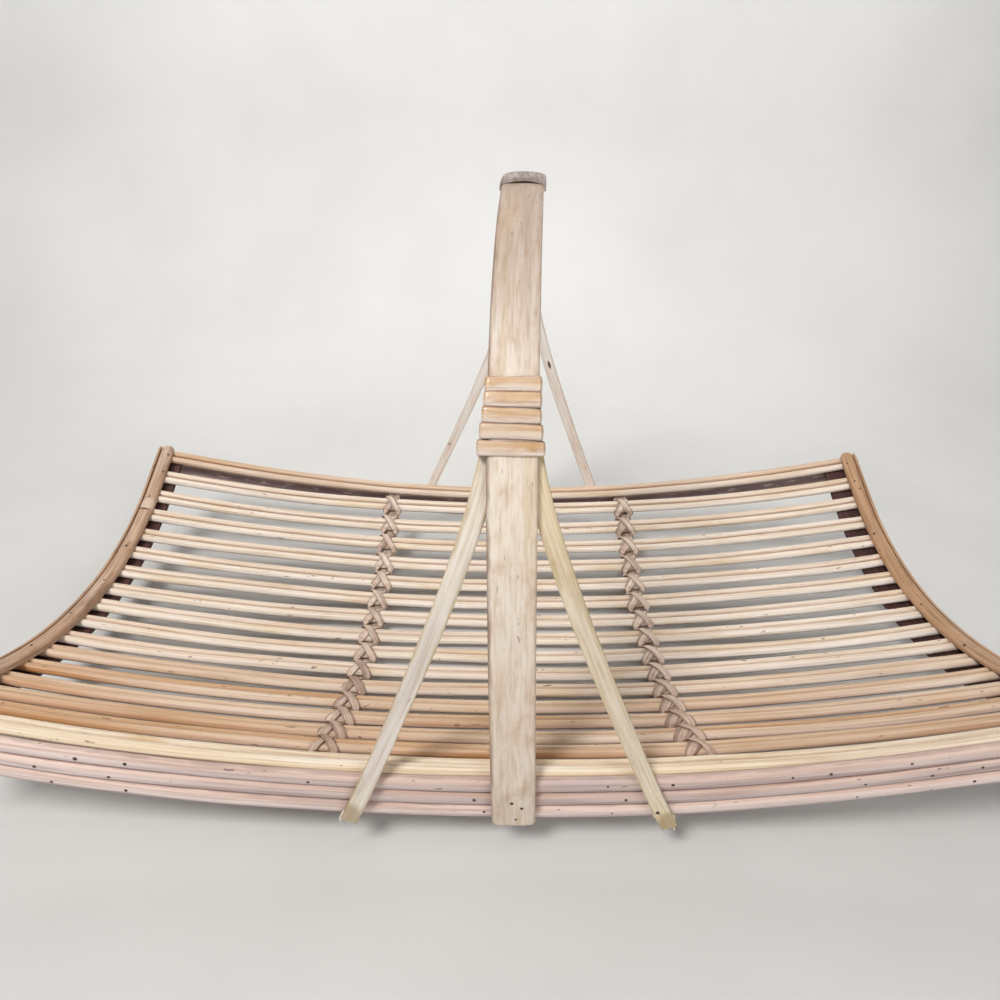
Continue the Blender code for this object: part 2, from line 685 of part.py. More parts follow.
def build_trug():
    clear_scene()
    collection = bpy.data.collections.new("garden_trug")
    bpy.context.scene.collection.children.link(collection)
    materials = {name: make_material(name) for name in FINISHES}

    make_canes(materials, collection)
    for label, side in (("left", -1), ("right", 1)):
        make_rib(f"rib_{label}", side, materials, collection)
        make_lashing(f"lashing_{label}", side, materials, collection)
        make_end_bars(label, side, materials, collection)
    for label, side in (("front", -1), ("rear", 1)):
        make_skirt(label, side, materials, collection)
        make_binding(f"binding_{label}", side, materials, collection)
        make_strut(f"strut_{label}_left", side, -1, materials, collection)
        make_strut(f"strut_{label}_right", side, 1, materials, collection)
    make_handle(materials, collection)
    make_crown_cover(materials, collection)


build_trug()
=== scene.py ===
"""Looks of the cane garden trug: its canes, bars, rods, ties, windings, handle and nails.

Every long piece is a strip: a row of stations worked out on the bench, placed on the bent tray or on
the handle's hoop, and swept by one geometry node tree. The strips carry their bench coordinates as
the attribute "bench", so that the grain follows each piece.
"""

import math
import random

import bmesh
import bpy
from mathutils import Matrix, Vector, noise


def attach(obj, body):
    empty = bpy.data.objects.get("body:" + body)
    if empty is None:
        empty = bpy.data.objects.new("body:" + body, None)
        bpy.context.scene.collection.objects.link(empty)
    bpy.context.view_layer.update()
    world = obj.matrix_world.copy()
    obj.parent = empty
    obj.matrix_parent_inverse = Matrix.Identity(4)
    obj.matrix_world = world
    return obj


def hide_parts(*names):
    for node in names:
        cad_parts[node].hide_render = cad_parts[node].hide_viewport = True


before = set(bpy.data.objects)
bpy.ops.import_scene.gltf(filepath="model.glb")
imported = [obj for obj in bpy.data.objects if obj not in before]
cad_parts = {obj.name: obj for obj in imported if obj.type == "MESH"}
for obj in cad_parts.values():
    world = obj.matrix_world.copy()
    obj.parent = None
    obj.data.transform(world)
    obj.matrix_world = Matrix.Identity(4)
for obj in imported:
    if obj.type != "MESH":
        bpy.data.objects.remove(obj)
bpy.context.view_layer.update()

# Sizes repeated from the trug's source, in metres
CLEARANCE = 0.0003
PAIR_COUNT = 17
PAIR_PITCH = 0.0203
CANE_DIAMETER = 0.0056
RIM_CANE_DIAMETER = 0.0067
TRAY_LENGTH = 0.6008
BOTTOM_RADIUS = 0.298
SIDE_SLOPE = math.radians(24.0)
END_LIFT_FRONT = 0.0392
END_LIFT_MIDDLE = 0.0294
END_LIFT_REAR = 0.0308
REAR_RIM_SAG = 0.0034
RIB_SPACING = 0.200
RIB_WIDTH = 0.009
RIB_STANDING_THICKNESS = 0.0065
RIB_NOTCH_ROOT = 0.0032
PEEL_WIDTH = 0.0047
PEEL_THICKNESS = 0.0007
TOP_BAR_WIDTH = 0.0107
TOP_BAR_THICKNESS = 0.0045
BOTTOM_BAR_WIDTH_LEFT = 0.0175
BOTTOM_BAR_WIDTH_RIGHT = 0.0242
BOTTOM_BAR_THICKNESS = 0.004
END_STRIP_THICKNESS = 0.0022
END_STRIP_TOP = 0.0022
SKIRT_ROD_COUNT = 3
SKIRT_ROD_HEIGHT = 0.0089
SKIRT_ROD_THICKNESS = 0.0038
SKIRT_RISE = -0.0025
SKIRT_END_SETBACK = 0.002
HANDLE_WIDTH = 0.0226
HANDLE_CROWN_WIDTH = 0.0212
HANDLE_THICKNESS = 0.004
HANDLE_HEIGHT = 0.3154
ARCH_RADIUS = 0.148
FOOT_HEIGHT = 0.0225
FOOT_BEND_RADIUS = 0.060
HANDLE_TWIST = math.radians(3.2)
HANDLE_LEAN = 0.0019
HANDLE_OFFSET = 0.0018
COVER_LENGTH = 0.044
COVER_THICKNESS = 0.0018
COVER_SIDE_THICKNESS = 0.0009
COVER_SIDE_DEPTH = 0.0018
BINDING_FROM_CROWN = 0.1465
BINDING_TURNS = 5
BINDING_TURN_WIDTH = 0.0067
STRUT_THICKNESS = 0.0032
STRUT_TOP_X = 0.0064
FRONT_STRUT = (0.0096, 0.0825, 0.080, -0.0026)
REAR_STRUT = (0.0074, 0.0810, 0.060, 0.0)

# Sizes worked out from the ones above
CANE_RADIUS = CANE_DIAMETER / 2.0
CANE_SPACING = CANE_DIAMETER + CLEARANCE
RIM_CANE_RADIUS = RIM_CANE_DIAMETER / 2.0
RIM_CANE_SPACING = RIM_CANE_DIAMETER + CLEARANCE
HALF_LENGTH = TRAY_LENGTH / 2.0
RIB_X = RIB_SPACING / 2.0
RIM_ACROSS = (PAIR_COUNT - 1) / 2.0 * PAIR_PITCH
RIM_CANE_ACROSS = RIM_ACROSS + RIM_CANE_SPACING / 2.0
REAR_CANE_ACROSS = RIM_CANE_ACROSS + (RIM_CANE_RADIUS - CANE_RADIUS) / math.cos(SIDE_SLOPE)
STANDING_HEIGHT = RIB_STANDING_THICKNESS + CLEARANCE + CANE_RADIUS
SLAT_TOP = CANE_RADIUS + CLEARANCE
HALF_HANDLE = HANDLE_WIDTH / 2.0
HANDLE_FACE = HANDLE_THICKNESS / 2.0 + CLEARANCE
HALF_ROD = SKIRT_ROD_HEIGHT / 2.0
TRAY_BASE = STANDING_HEIGHT - END_LIFT_MIDDLE * (RIB_X / HALF_LENGTH) ** 2

# How finely the strips are made, and how much further on the next seed's bench starts
STATION_STEP = 0.010
FINE_STEP = 0.005
PROBE = 0.0002
MERGE_DISTANCE = 0.000002
BENCH_STEP = 7.31
ALONG = Vector((1.0, 0.0, 0.0))
ACROSS = Vector((0.0, 1.0, 0.0))
UP = Vector((0.0, 0.0, 1.0))

# The camera, as fitted to the photograph
CAMERA_PLACE = (-0.00888, -0.42346, 0.34629)
CAMERA_LENS = 26.43
CAMERA_PAN = math.radians(-0.247)
CAMERA_TILT = math.radians(61.993)
CAMERA_ROLL = math.radians(0.694)


# Bending: the same rules as in the trug's source

def walk(segments, distance):
    """Place and heading after a distance along arcs and straights, each given as (length, turn)."""
    y, z, heading = 0.0, 0.0, 0.0
    for length, turn in segments + [(math.inf, 0.0)]:
        part = min(distance, length)
        angle = turn * part / length
        chord = 2.0 * length / turn * math.sin(angle / 2.0) if turn else part
        y += chord * math.cos(heading + angle / 2.0)
        z += chord * math.sin(heading + angle / 2.0)
        heading += angle
        distance -= part
    return y, z, heading


def between(marks, place):
    """Value at a place along (place, value) marks, straight between them and level beyond them."""
    if place <= marks[0][0]:
        return marks[0][1]
    for (start, first), (end, last) in zip(marks, marks[1:]):
        if place <= end:
            return first + (last - first) * (place - start) / (end - start)
    return marks[-1][1]


def pair_across(pair):
    """Distance across of a pair's middle; pair 1 is the rear rim and the last is the front rim."""
    if pair == 1:
        return REAR_CANE_ACROSS - CANE_SPACING / 2.0
    return ((PAIR_COUNT + 1) / 2.0 - pair) * PAIR_PITCH


def half_pitch(pair, way):
    """Half the distance from a pair to its neighbour towards the rear (1) or the front (-1)."""
    return abs(pair_across(pair - way) - pair_across(pair)) / 2.0


def sag_marks():
    """Marks of the share of the rear rim's sag: none up to pair 2, all of it from pair 1 on."""
    return (pair_across(2) + CANE_DIAMETER, 0.0), (pair_across(1) - CANE_DIAMETER, 1.0)


def tray_section(across):
    side = math.copysign(1.0, across)
    y, z, slope = walk([(BOTTOM_RADIUS * SIDE_SLOPE, SIDE_SLOPE)], abs(across))
    return side * y, z, side * slope


def end_lift(across):
    share = across / RIM_ACROSS
    tilt = (END_LIFT_REAR - END_LIFT_FRONT) / 2.0
    bow = (END_LIFT_REAR + END_LIFT_FRONT) / 2.0 - END_LIFT_MIDDLE
    return END_LIFT_MIDDLE + tilt * share + bow * share * share


def on_tray(point):
    """From (along, across, height above the slats' mid-surface) to the world."""
    along, across, height = point
    y, z, slope = tray_section(across)
    lift = end_lift(across)
    rise = 2.0 * lift * along / HALF_LENGTH ** 2
    normal = Vector((-rise * math.cos(slope), -math.sin(slope), math.cos(slope))).normalized()
    share = (along / HALF_LENGTH) ** 2
    z += TRAY_BASE + lift * share - between(sag_marks(), across) * REAR_RIM_SAG * (1.0 - share) ** 2
    return Vector((along, y, z)) + height * normal


def rim_face_y():
    return tray_section(RIM_CANE_ACROSS)[0] + RIM_CANE_RADIUS + CLEARANCE


def skirt_face_y():
    return rim_face_y() + SKIRT_ROD_THICKNESS


def on_rim(side):
    """Placer for (along, out from the skirt's inner face, height above its top edge)."""
    def place(point):
        along, out, height = point
        top = on_tray((along, side * RIM_CANE_ACROSS, 0.0)).z + RIM_CANE_RADIUS + SKIRT_RISE
        return Vector((along, side * (rim_face_y() + out), top + height))
    return place


def hoop_segments():
    """Arc, straight, bend and foot of the handle's middle surface, from its crown to one foot."""
    radius = ARCH_RADIUS - HANDLE_THICKNESS / 2.0
    foot_y = skirt_face_y() + CLEARANCE + HANDLE_THICKNESS / 2.0
    bend_z = on_rim(-1)((0.0, 0.0, 0.0)).z
    drop = HANDLE_HEIGHT - ARCH_RADIUS - bend_z
    arc = math.pi / 2.0 - math.acos(radius / math.hypot(foot_y, drop)) + math.atan2(drop, foot_y)
    bend = math.pi / 2.0 - arc
    trim = FOOT_BEND_RADIUS * math.tan(bend / 2.0)
    straight = math.sqrt(foot_y ** 2 + drop ** 2 - radius ** 2) - trim
    foot = bend_z - FOOT_HEIGHT - trim
    return [(radius * arc, -arc), (straight, 0.0), (FOOT_BEND_RADIUS * bend, -bend), (foot, 0.0)]


HOOP = hoop_segments()
HOOP_ARC = HOOP[0][0]
HOOP_END = sum(length for length, _ in HOOP)
HOOP_RIM = sum(length for length, _ in HOOP[:3])


def on_hoop(point):
    """From (x, distance from the crown, out from the handle's middle surface) to the world."""
    x, distance, out = point
    y, z, heading = walk(HOOP, abs(distance))
    y = math.copysign(y - out * math.sin(heading), distance)
    z += HANDLE_HEIGHT - HANDLE_THICKNESS / 2.0 + out * math.cos(heading)
    share = z / HANDLE_HEIGHT
    return Vector((x + HANDLE_OFFSET + HANDLE_LEAN * share ** 2 + HANDLE_TWIST * share * y, y, z))


def across_at_y(target, height):
    low, high = 0.0, 2.0 * RIM_CANE_ACROSS
    for _ in range(50):
        middle = (low + high) / 2.0
        if on_tray((RIB_X, middle, height)).y < target:
            low = middle
        else:
            high = middle
    return low


# Objects, attributes and node trees

def put_in_scene(name, data):
    """Makes an object of a mesh, a camera or a lamp and links it to the scene."""
    thing = bpy.data.objects.new(name, data)
    bpy.context.scene.collection.objects.link(thing)
    return thing


def carry(mesh, name, vectors):
    """Gives each point of a mesh a vector under a name."""
    values = [number for vector in vectors for number in vector]
    mesh.attributes.new(name, "FLOAT_VECTOR", "POINT").data.foreach_set("vector", values)


class Nodes:
    """A node tree under construction."""

    def __init__(self, tree):
        self.tree = tree

    def add(self, kind, values=(), output=0, **settings):
        """Adds a node, sets or links its inputs by name or place, and returns one of its outputs."""
        node = self.tree.nodes.new(kind)
        for key, value in settings.items():
            setattr(node, key, value)
        for key, value in dict(values).items():
            if isinstance(value, bpy.types.NodeSocket):
                self.tree.links.new(value, node.inputs[key])
            else:
                node.inputs[key].default_value = value
        return node.outputs[output]

    def math(self, operation, *values):
        return self.add("ShaderNodeMath", dict(enumerate(values)), operation=operation)

    def times(self, first, second):
        return self.math("MULTIPLY", first, second)

    def vector(self, operation, *values, output=0):
        return self.add("ShaderNodeVectorMath", dict(enumerate(values)), output, operation=operation)


class Shape(Nodes):
    """A geometry node tree under construction, with its inputs by name."""

    def __init__(self, name, inputs):
        super().__init__(bpy.data.node_groups.new(name, "GeometryNodeTree"))
        face = self.tree.interface
        face.new_socket("Geometry", in_out="INPUT", socket_type="NodeSocketGeometry")
        for label, kind in inputs:
            face.new_socket(label, in_out="INPUT", socket_type="NodeSocket" + kind)
        face.new_socket("Geometry", in_out="OUTPUT", socket_type="NodeSocketGeometry")
        self.entry = self.tree.nodes.new("NodeGroupInput").outputs
        self.exit = self.tree.nodes.new("NodeGroupOutput").inputs

    def read(self, name, kind):
        return self.add("GeometryNodeInputNamedAttribute", {"Name": name}, data_type=kind)

    def store(self, geometry, name, kind, value):
        return self.add("GeometryNodeStoreNamedAttribute",
                        {"Geometry": geometry, "Name": name, "Value": value},
                        data_type=kind, domain="POINT")

    def close(self, geometry):
        """Ends the tree in Realize Instances and Set Material."""
        real = self.add("GeometryNodeRealizeInstances", {0: geometry})
        done = self.add("GeometryNodeSetMaterial", {"Geometry": real, "Material": self.entry["Finish"]})
        self.tree.links.new(done, self.exit[0])
        return self.tree


STRIP_INPUTS = [("Width", "Float"), ("Rise", "Float"), ("Drop", "Float"), ("Top Curve", "Float"),
                ("Back Curve", "Float"), ("Sides", "Int"), ("Unevenness", "Float"),
                ("Lump Length", "Float"), ("Age", "Float"), ("Seed", "Int"), ("Finish", "Material")]


def make_strip_tree():
    """Sweeps a rounded section along rows of stations that carry their own directions."""
    tree = Shape("swept strip", STRIP_INPUTS)
    entry = tree.entry
    path = tree.add("GeometryNodeMeshToCurve", {0: entry["Geometry"]})
    ring = tree.add("GeometryNodeCurvePrimitiveCircle", {"Resolution": entry["Sides"], "Radius": 1.0})
    ring = tree.store(ring, "ring", "FLOAT_VECTOR", tree.add("GeometryNodeInputPosition"))
    strip = tree.add("GeometryNodeCurveToMesh", {0: path, 1: ring, "Fill Caps": True})

    ring = tree.read("ring", "FLOAT_VECTOR")
    aside, outward = (tree.add("ShaderNodeSeparateXYZ", {0: ring}, index) for index in (0, 1))
    on_top = tree.math("GREATER_THAN", outward, 0.0)
    curve = tree.math("MULTIPLY_ADD", on_top,
                      tree.math("SUBTRACT", entry["Top Curve"], entry["Back Curve"]),
                      entry["Back Curve"])
    reach = tree.math("MULTIPLY_ADD", on_top,
                      tree.math("SUBTRACT", entry["Rise"], entry["Drop"]), entry["Drop"])

    run = tree.read("run", "FLOAT")
    shift = tree.math("MULTIPLY_ADD", entry["Seed"], BENCH_STEP, run)
    lumps = tree.add("ShaderNodeCombineXYZ", {
        0: tree.math("DIVIDE", shift, entry["Lump Length"]),
        1: tree.times(aside, 0.6),
        2: tree.times(outward, 0.6)})
    lump = tree.add("ShaderNodeTexNoise", {"Vector": lumps, "Scale": 1.0, "Detail": 2.0})
    swell = tree.math("MULTIPLY_ADD", tree.math("SUBTRACT", lump, 0.5),
                      tree.times(entry["Unevenness"], 2.0), 1.0)

    def spread(part, size):
        bent = tree.math("POWER", tree.math("ABSOLUTE", part), curve)
        signed = tree.times(bent, tree.math("SIGN", part))
        return tree.times(tree.times(signed, size), swell)

    x = spread(aside, tree.times(tree.times(entry["Width"], 0.5), tree.read("girth", "FLOAT")))
    y = spread(outward, tree.times(reach, tree.read("depth", "FLOAT")))
    bench = tree.add("ShaderNodeCombineXYZ", {0: shift, 1: x, 2: y})
    strip = tree.store(strip, "bench", "FLOAT_VECTOR", bench)
    # Age times wear: real age and wear, and on the skirt, the handle and the rear canes painted shade
    strip = tree.store(strip, "age", "FLOAT", tree.times(entry["Age"], tree.read("wear_and_shade", "FLOAT")))

    def scaled(name, amount):
        return tree.add("ShaderNodeVectorMath", {0: tree.read(name, "FLOAT_VECTOR"), "Scale": amount},
                        operation="SCALE")

    place = tree.read("centre", "FLOAT_VECTOR")
    for step in (scaled("across", x), scaled("outward", y)):
        place = tree.vector("ADD", place, step)
    strip = tree.add("GeometryNodeSetPosition", {"Geometry": strip, "Position": place})
    return tree.close(tree.add("GeometryNodeSetShadeSmooth", {0: strip}))


NAIL_INPUTS = [("Head Radius", "Float"), ("Head Height", "Float"), ("Seed", "Int"),
               ("Finish", "Material")]
NAIL_SPREAD = 0.25


def make_nail_tree():
    """Puts a flattened nail head, slightly uneven in size, on every point, square to its surface."""
    tree = Shape("driven nails", NAIL_INPUTS)
    entry = tree.entry
    ball = tree.add("GeometryNodeMeshUVSphere", {"Segments": 12, "Rings": 8, "Radius": 1.0})
    size = tree.add("ShaderNodeCombineXYZ", {
        0: entry["Head Radius"], 1: entry["Head Radius"], 2: entry["Head Height"]})
    head = tree.add("GeometryNodeTransform", {"Geometry": ball, "Scale": size})
    turned = tree.add("FunctionNodeAlignRotationToVector",
                      {"Vector": tree.read("outward", "FLOAT_VECTOR")}, axis="Z")
    uneven = tree.add("FunctionNodeRandomValue", {
        2: 1.0 - NAIL_SPREAD, 3: 1.0 + NAIL_SPREAD, "Seed": entry["Seed"]}, 1, data_type="FLOAT")
    heads = tree.add("GeometryNodeInstanceOnPoints", {
        "Points": entry["Geometry"], "Instance": head, "Rotation": turned, "Scale": uneven})
    real = tree.add("GeometryNodeRealizeInstances", {0: heads})
    return tree.close(tree.add("GeometryNodeSetShadeSmooth", {0: real}))


STRIP_TREE = make_strip_tree()
NAIL_TREE = make_nail_tree()


def grow(tree, path, values):
    """The plain mesh that a tree makes of a path mesh; the tree's modifier and the path are removed."""
    holder = put_in_scene("path", path)
    modifier = holder.modifiers.new("grow", "NODES")
    modifier.node_group = tree
    sockets = {item.name: item.identifier for item in tree.interface.items_tree
               if item.in_out == "INPUT"}
    for label, value in values.items():
        modifier[sockets[label]] = value
    graph = bpy.context.evaluated_depsgraph_get()
    mesh = bpy.data.meshes.new_from_object(holder.evaluated_get(graph))
    holder.modifiers.clear()
    bpy.data.objects.remove(holder, do_unlink=True)
    bpy.data.meshes.remove(path)
    return mesh


# Stations: where a strip's section stands, which way it faces, how wide and thick it is there, and how
# much wear and painted shade it carries there

def station(place, point, across, outward, run, girth=1.0, depth=1.0, wear_and_shade=1.0):
    centre = place(point)
    sideways = (place(Vector(point) + PROBE * across) - centre).normalized()
    facing = (place(Vector(point) + PROBE * outward) - centre).normalized()
    return centre, sideways, facing, run, girth, depth, wear_and_shade


def path_mesh(rows, closed=False):
    """Edge chains through the stations, one for each row, with the directions as attributes."""
    points = [point for row in rows for point in row]
    edges, start = [], 0
    for row in rows:
        last = len(row) - 1
        edges += [(start + index, start + index + 1) for index in range(last)]
        if closed:
            edges.append((start + last, start))
        start += len(row)
    mesh = bpy.data.meshes.new("path")
    mesh.from_pydata([point[0] for point in points], edges, [])
    for index, name in enumerate(("centre", "across", "outward")):
        carry(mesh, name, [point[index] for point in points])
    for index, name in enumerate(("run", "girth", "depth", "wear_and_shade"), start=3):
        values = [point[index] for point in points]
        mesh.attributes.new(name, "FLOAT", "POINT").data.foreach_set("value", values)
    return mesh


HELPER_ATTRIBUTES = ("centre", "across", "outward", "run", "girth", "depth", "wear_and_shade", "ring")
SHARP_ANGLE = math.radians(48.0)


def keep(name, mesh, node=None):
    """Closes a mesh, points its faces outwards and keeps it as a piece that may stand for a CAD node."""
    work = bmesh.new()
    work.from_mesh(mesh)
    bmesh.ops.remove_doubles(work, verts=work.verts, dist=MERGE_DISTANCE)
    bmesh.ops.recalc_face_normals(work, faces=work.faces)
    work.to_mesh(mesh)
    work.free()
    for helper in HELPER_ATTRIBUTES:
        if helper in mesh.attributes:
            mesh.attributes.remove(mesh.attributes[helper])
    mesh.shade_smooth()
    mesh.set_sharp_from_angle(angle=SHARP_ANGLE)
    mesh.name = name
    piece = put_in_scene(name, mesh)
    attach(piece, "root")
    if node:
        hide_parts(node)


def strips(name, rows, finish, node=None, thickness=0.0, closed=False, slot=None, **shape):
    """Sweeps the rows into one piece. Shape names the strip tree's inputs in lower case."""
    values = {"Rise": thickness / 2.0, "Drop": thickness / 2.0, "Top Curve": 1.0, "Back Curve": 1.0,
              "Sides": 16, "Unevenness": 0.0, "Lump Length": 0.03, "Age": 1.0}
    values.update({key.replace("_", " ").title(): value for key, value in shape.items()})
    values["Finish"] = FINISHES[finish]
    keep(name, grow(STRIP_TREE, path_mesh(rows, closed), values), node)


def even_steps(low, high, step):
    count = max(2, round((high - low) / step))
    return [low + (high - low) * index / count for index in range(count + 1)]


def wander(seed, run, length, amount):
    """A slow, smooth drift between -amount and amount along a piece."""
    return amount * noise.noise(Vector((run / length, seed * 3.7, 0.5))) * 1.6


# Finishes

def paint(red, green, blue):
    """Linear colour of an ordinary screen colour given from 0 to 255."""
    def linear(value):
        share = value / 255.0
        return share / 12.92 if share <= 0.04045 else ((share + 0.055) / 1.055) ** 2.4
    return (linear(red), linear(green), linear(blue), 1.0)


class Finish(Nodes):
    """A node material under construction, patterned on a piece's bench or object coordinates."""

    def __init__(self, name, first, own_bench=True):
        self.material = bpy.data.materials.new(name)
        self.material.use_nodes = True
        super().__init__(self.material.node_tree)
        self.shader = self.tree.nodes["Principled BSDF"]
        self.colour = paint(*first)
        if own_bench:
            self.where = self.add("ShaderNodeAttribute", output=1, attribute_name="bench")
            self.age = self.add("ShaderNodeAttribute", output=2, attribute_name="age")
        else:
            self.where = self.add("ShaderNodeTexCoord", output=3)
            self.age = None

    def grain(self, along, across, detail=3.0, shift=0.0, roughness=0.55):
        """Noise drawn out along the piece; along and across are cycles per metre."""
        stretched = self.add("ShaderNodeMapping", {
            "Vector": self.where, "Location": (shift, shift * 1.3, shift * 0.7),
            "Scale": (along, across, across)})
        return self.add("ShaderNodeTexNoise", {
            "Vector": stretched, "Scale": 1.0, "Detail": detail, "Roughness": roughness})

    def between(self, value, low, high, floor=0.0, ceiling=1.0):
        return self.add("ShaderNodeMapRange", {0: value, 1: low, 2: high, 3: floor, 4: ceiling},
                        interpolation_type="SMOOTHSTEP")

    def tint(self, amount, shade, how="MIX"):
        """Lays a screen colour over the finish's colour by an amount from zero to one."""
        self.colour = self.add("ShaderNodeMix", {0: amount, 6: self.colour, 7: paint(*shade)}, 2,
                               data_type="RGBA", blend_type=how)

    def axis(self, index, ragged):
        """Place across (1) or up (2) the section, made ragged by up to half the given distance."""
        straight = self.add("ShaderNodeSeparateXYZ", {0: self.where}, index)
        shaky = self.grain(70.0, 260.0, shift=31.0)
        return self.math("MULTIPLY_ADD", shaky, 2.0 * ragged, self.math("SUBTRACT", straight, ragged))

    def mark(self, place, reach):
        """One inside an oval round a place on the bench, fading to zero at its rim."""
        offset = self.vector("SUBTRACT", self.where, (*place, 0.0))
        sized = self.vector("MULTIPLY", offset, (1.0 / reach[0], 1.0 / reach[1], 0.0))
        return self.between(self.vector("LENGTH", sized, output=1), 0.6, 1.0, 1.0, 0.0)

    def done(self, rough, relief, depth):
        bump = self.add("ShaderNodeBump", {"Strength": 0.8, "Distance": depth, "Height": relief})
        for socket, value in (("Base Color", self.colour), ("Roughness", rough), ("Normal", bump)):
            self.tree.links.new(value, self.shader.inputs[socket])
        return self.material


def timber(name, tones, fibre=(14.0, 900.0), streak=(5.0, 170.0), blotch=(20.0, 70.0),
           heights=(), edges=(), aged_and_shaded=None, weather=None, specks=None, fibre_shade=(205, 196, 188),
           gloss=(0.45, 0.65), relief=0.00012, own_bench=True, coat=0.0, ragged=0.0, marks=()):
    """A wood finish: three tones by streak and blotch, then tints by place, age and wear, several of them
    painted light and shade.

    heights and edges are lists of (colour, start, full, share) up or across the strip's section;
    weather is (colour, share) in long patches; specks is (colour, share); marks are stains of
    (colour, place on the bench, reach along and across, share).
    """
    finish = Finish(name, tones[0], own_bench)
    fibres = finish.grain(*fibre, detail=5.0)
    streaks = finish.grain(*streak, detail=4.0, shift=3.1)
    blotches = finish.grain(*blotch, detail=4.0, shift=7.7)
    finish.tint(finish.between(streaks, 0.38, 0.66), tones[1])
    finish.tint(finish.between(blotches, 0.50, 0.74), tones[2])
    # Tint by age and wear: real tan and greying, and painted shade on the skirt, the handle and the rear
    # cane of each pair
    if aged_and_shaded:
        shade, share = aged_and_shaded
        patchy = finish.between(finish.grain(7.0, 120.0, shift=11.0), 0.3, 0.7, 0.72, 1.0)
        finish.tint(finish.times(finish.times(finish.age, share), patchy), shade)
    # Tints up and across the section; several finishes use them for painted light and shade in grooves,
    # under pieces and on lit or shaded sides
    for place, tints in ((2, heights), (1, edges)):
        for shade, start, full, share in tints:
            limits = (start, full, 0.0, share) if start < full else (full, start, share, 0.0)
            finish.tint(finish.between(finish.axis(place, ragged), *limits), shade)
    if weather:
        shade, share = weather
        patches = finish.grain(9.0, 90.0, detail=5.0, shift=17.0)
        finish.tint(finish.between(patches, 0.52, 0.70, 0.0, share), shade)
    lines = finish.between(fibres, 0.40, 0.72)
    finish.tint(lines, fibre_shade, "MULTIPLY")
    height_map = finish.times(lines, -1.0)
    if specks:
        shade, share = specks
        dots = finish.between(finish.grain(150.0, 520.0, detail=1.0, shift=23.0), 0.70, 0.75)
        rare = finish.between(finish.grain(13.0, 30.0, detail=1.0, shift=29.0), 0.50, 0.60, 0.0, share)
        finish.tint(finish.times(dots, rare), shade)
    for shade, place, reach, share in marks:
        finish.tint(finish.times(finish.mark(place, reach), share), shade)
    if coat:
        finish.shader.inputs["Coat Weight"].default_value = coat
        finish.shader.inputs["Coat Roughness"].default_value = 0.25
    return finish.done(finish.between(streaks, 0.3, 0.7, *gloss), height_map, relief)


def both_edges(shade, start, full, share):
    return [(shade, start, full, share), (shade, -start, -full, share)]


# Places of single marks on the benches of the pieces that carry them, by the pieces' seeds
FRONT_LEFT_FOOT = BENCH_STEP * 157 + 0.3740
FRONT_RIGHT_FOOT = BENCH_STEP * 159 + 0.3762
REAR_KNOT = BENCH_STEP * 163 + 0.229
BAR_KNOT = BENCH_STEP * 100 + 0.107


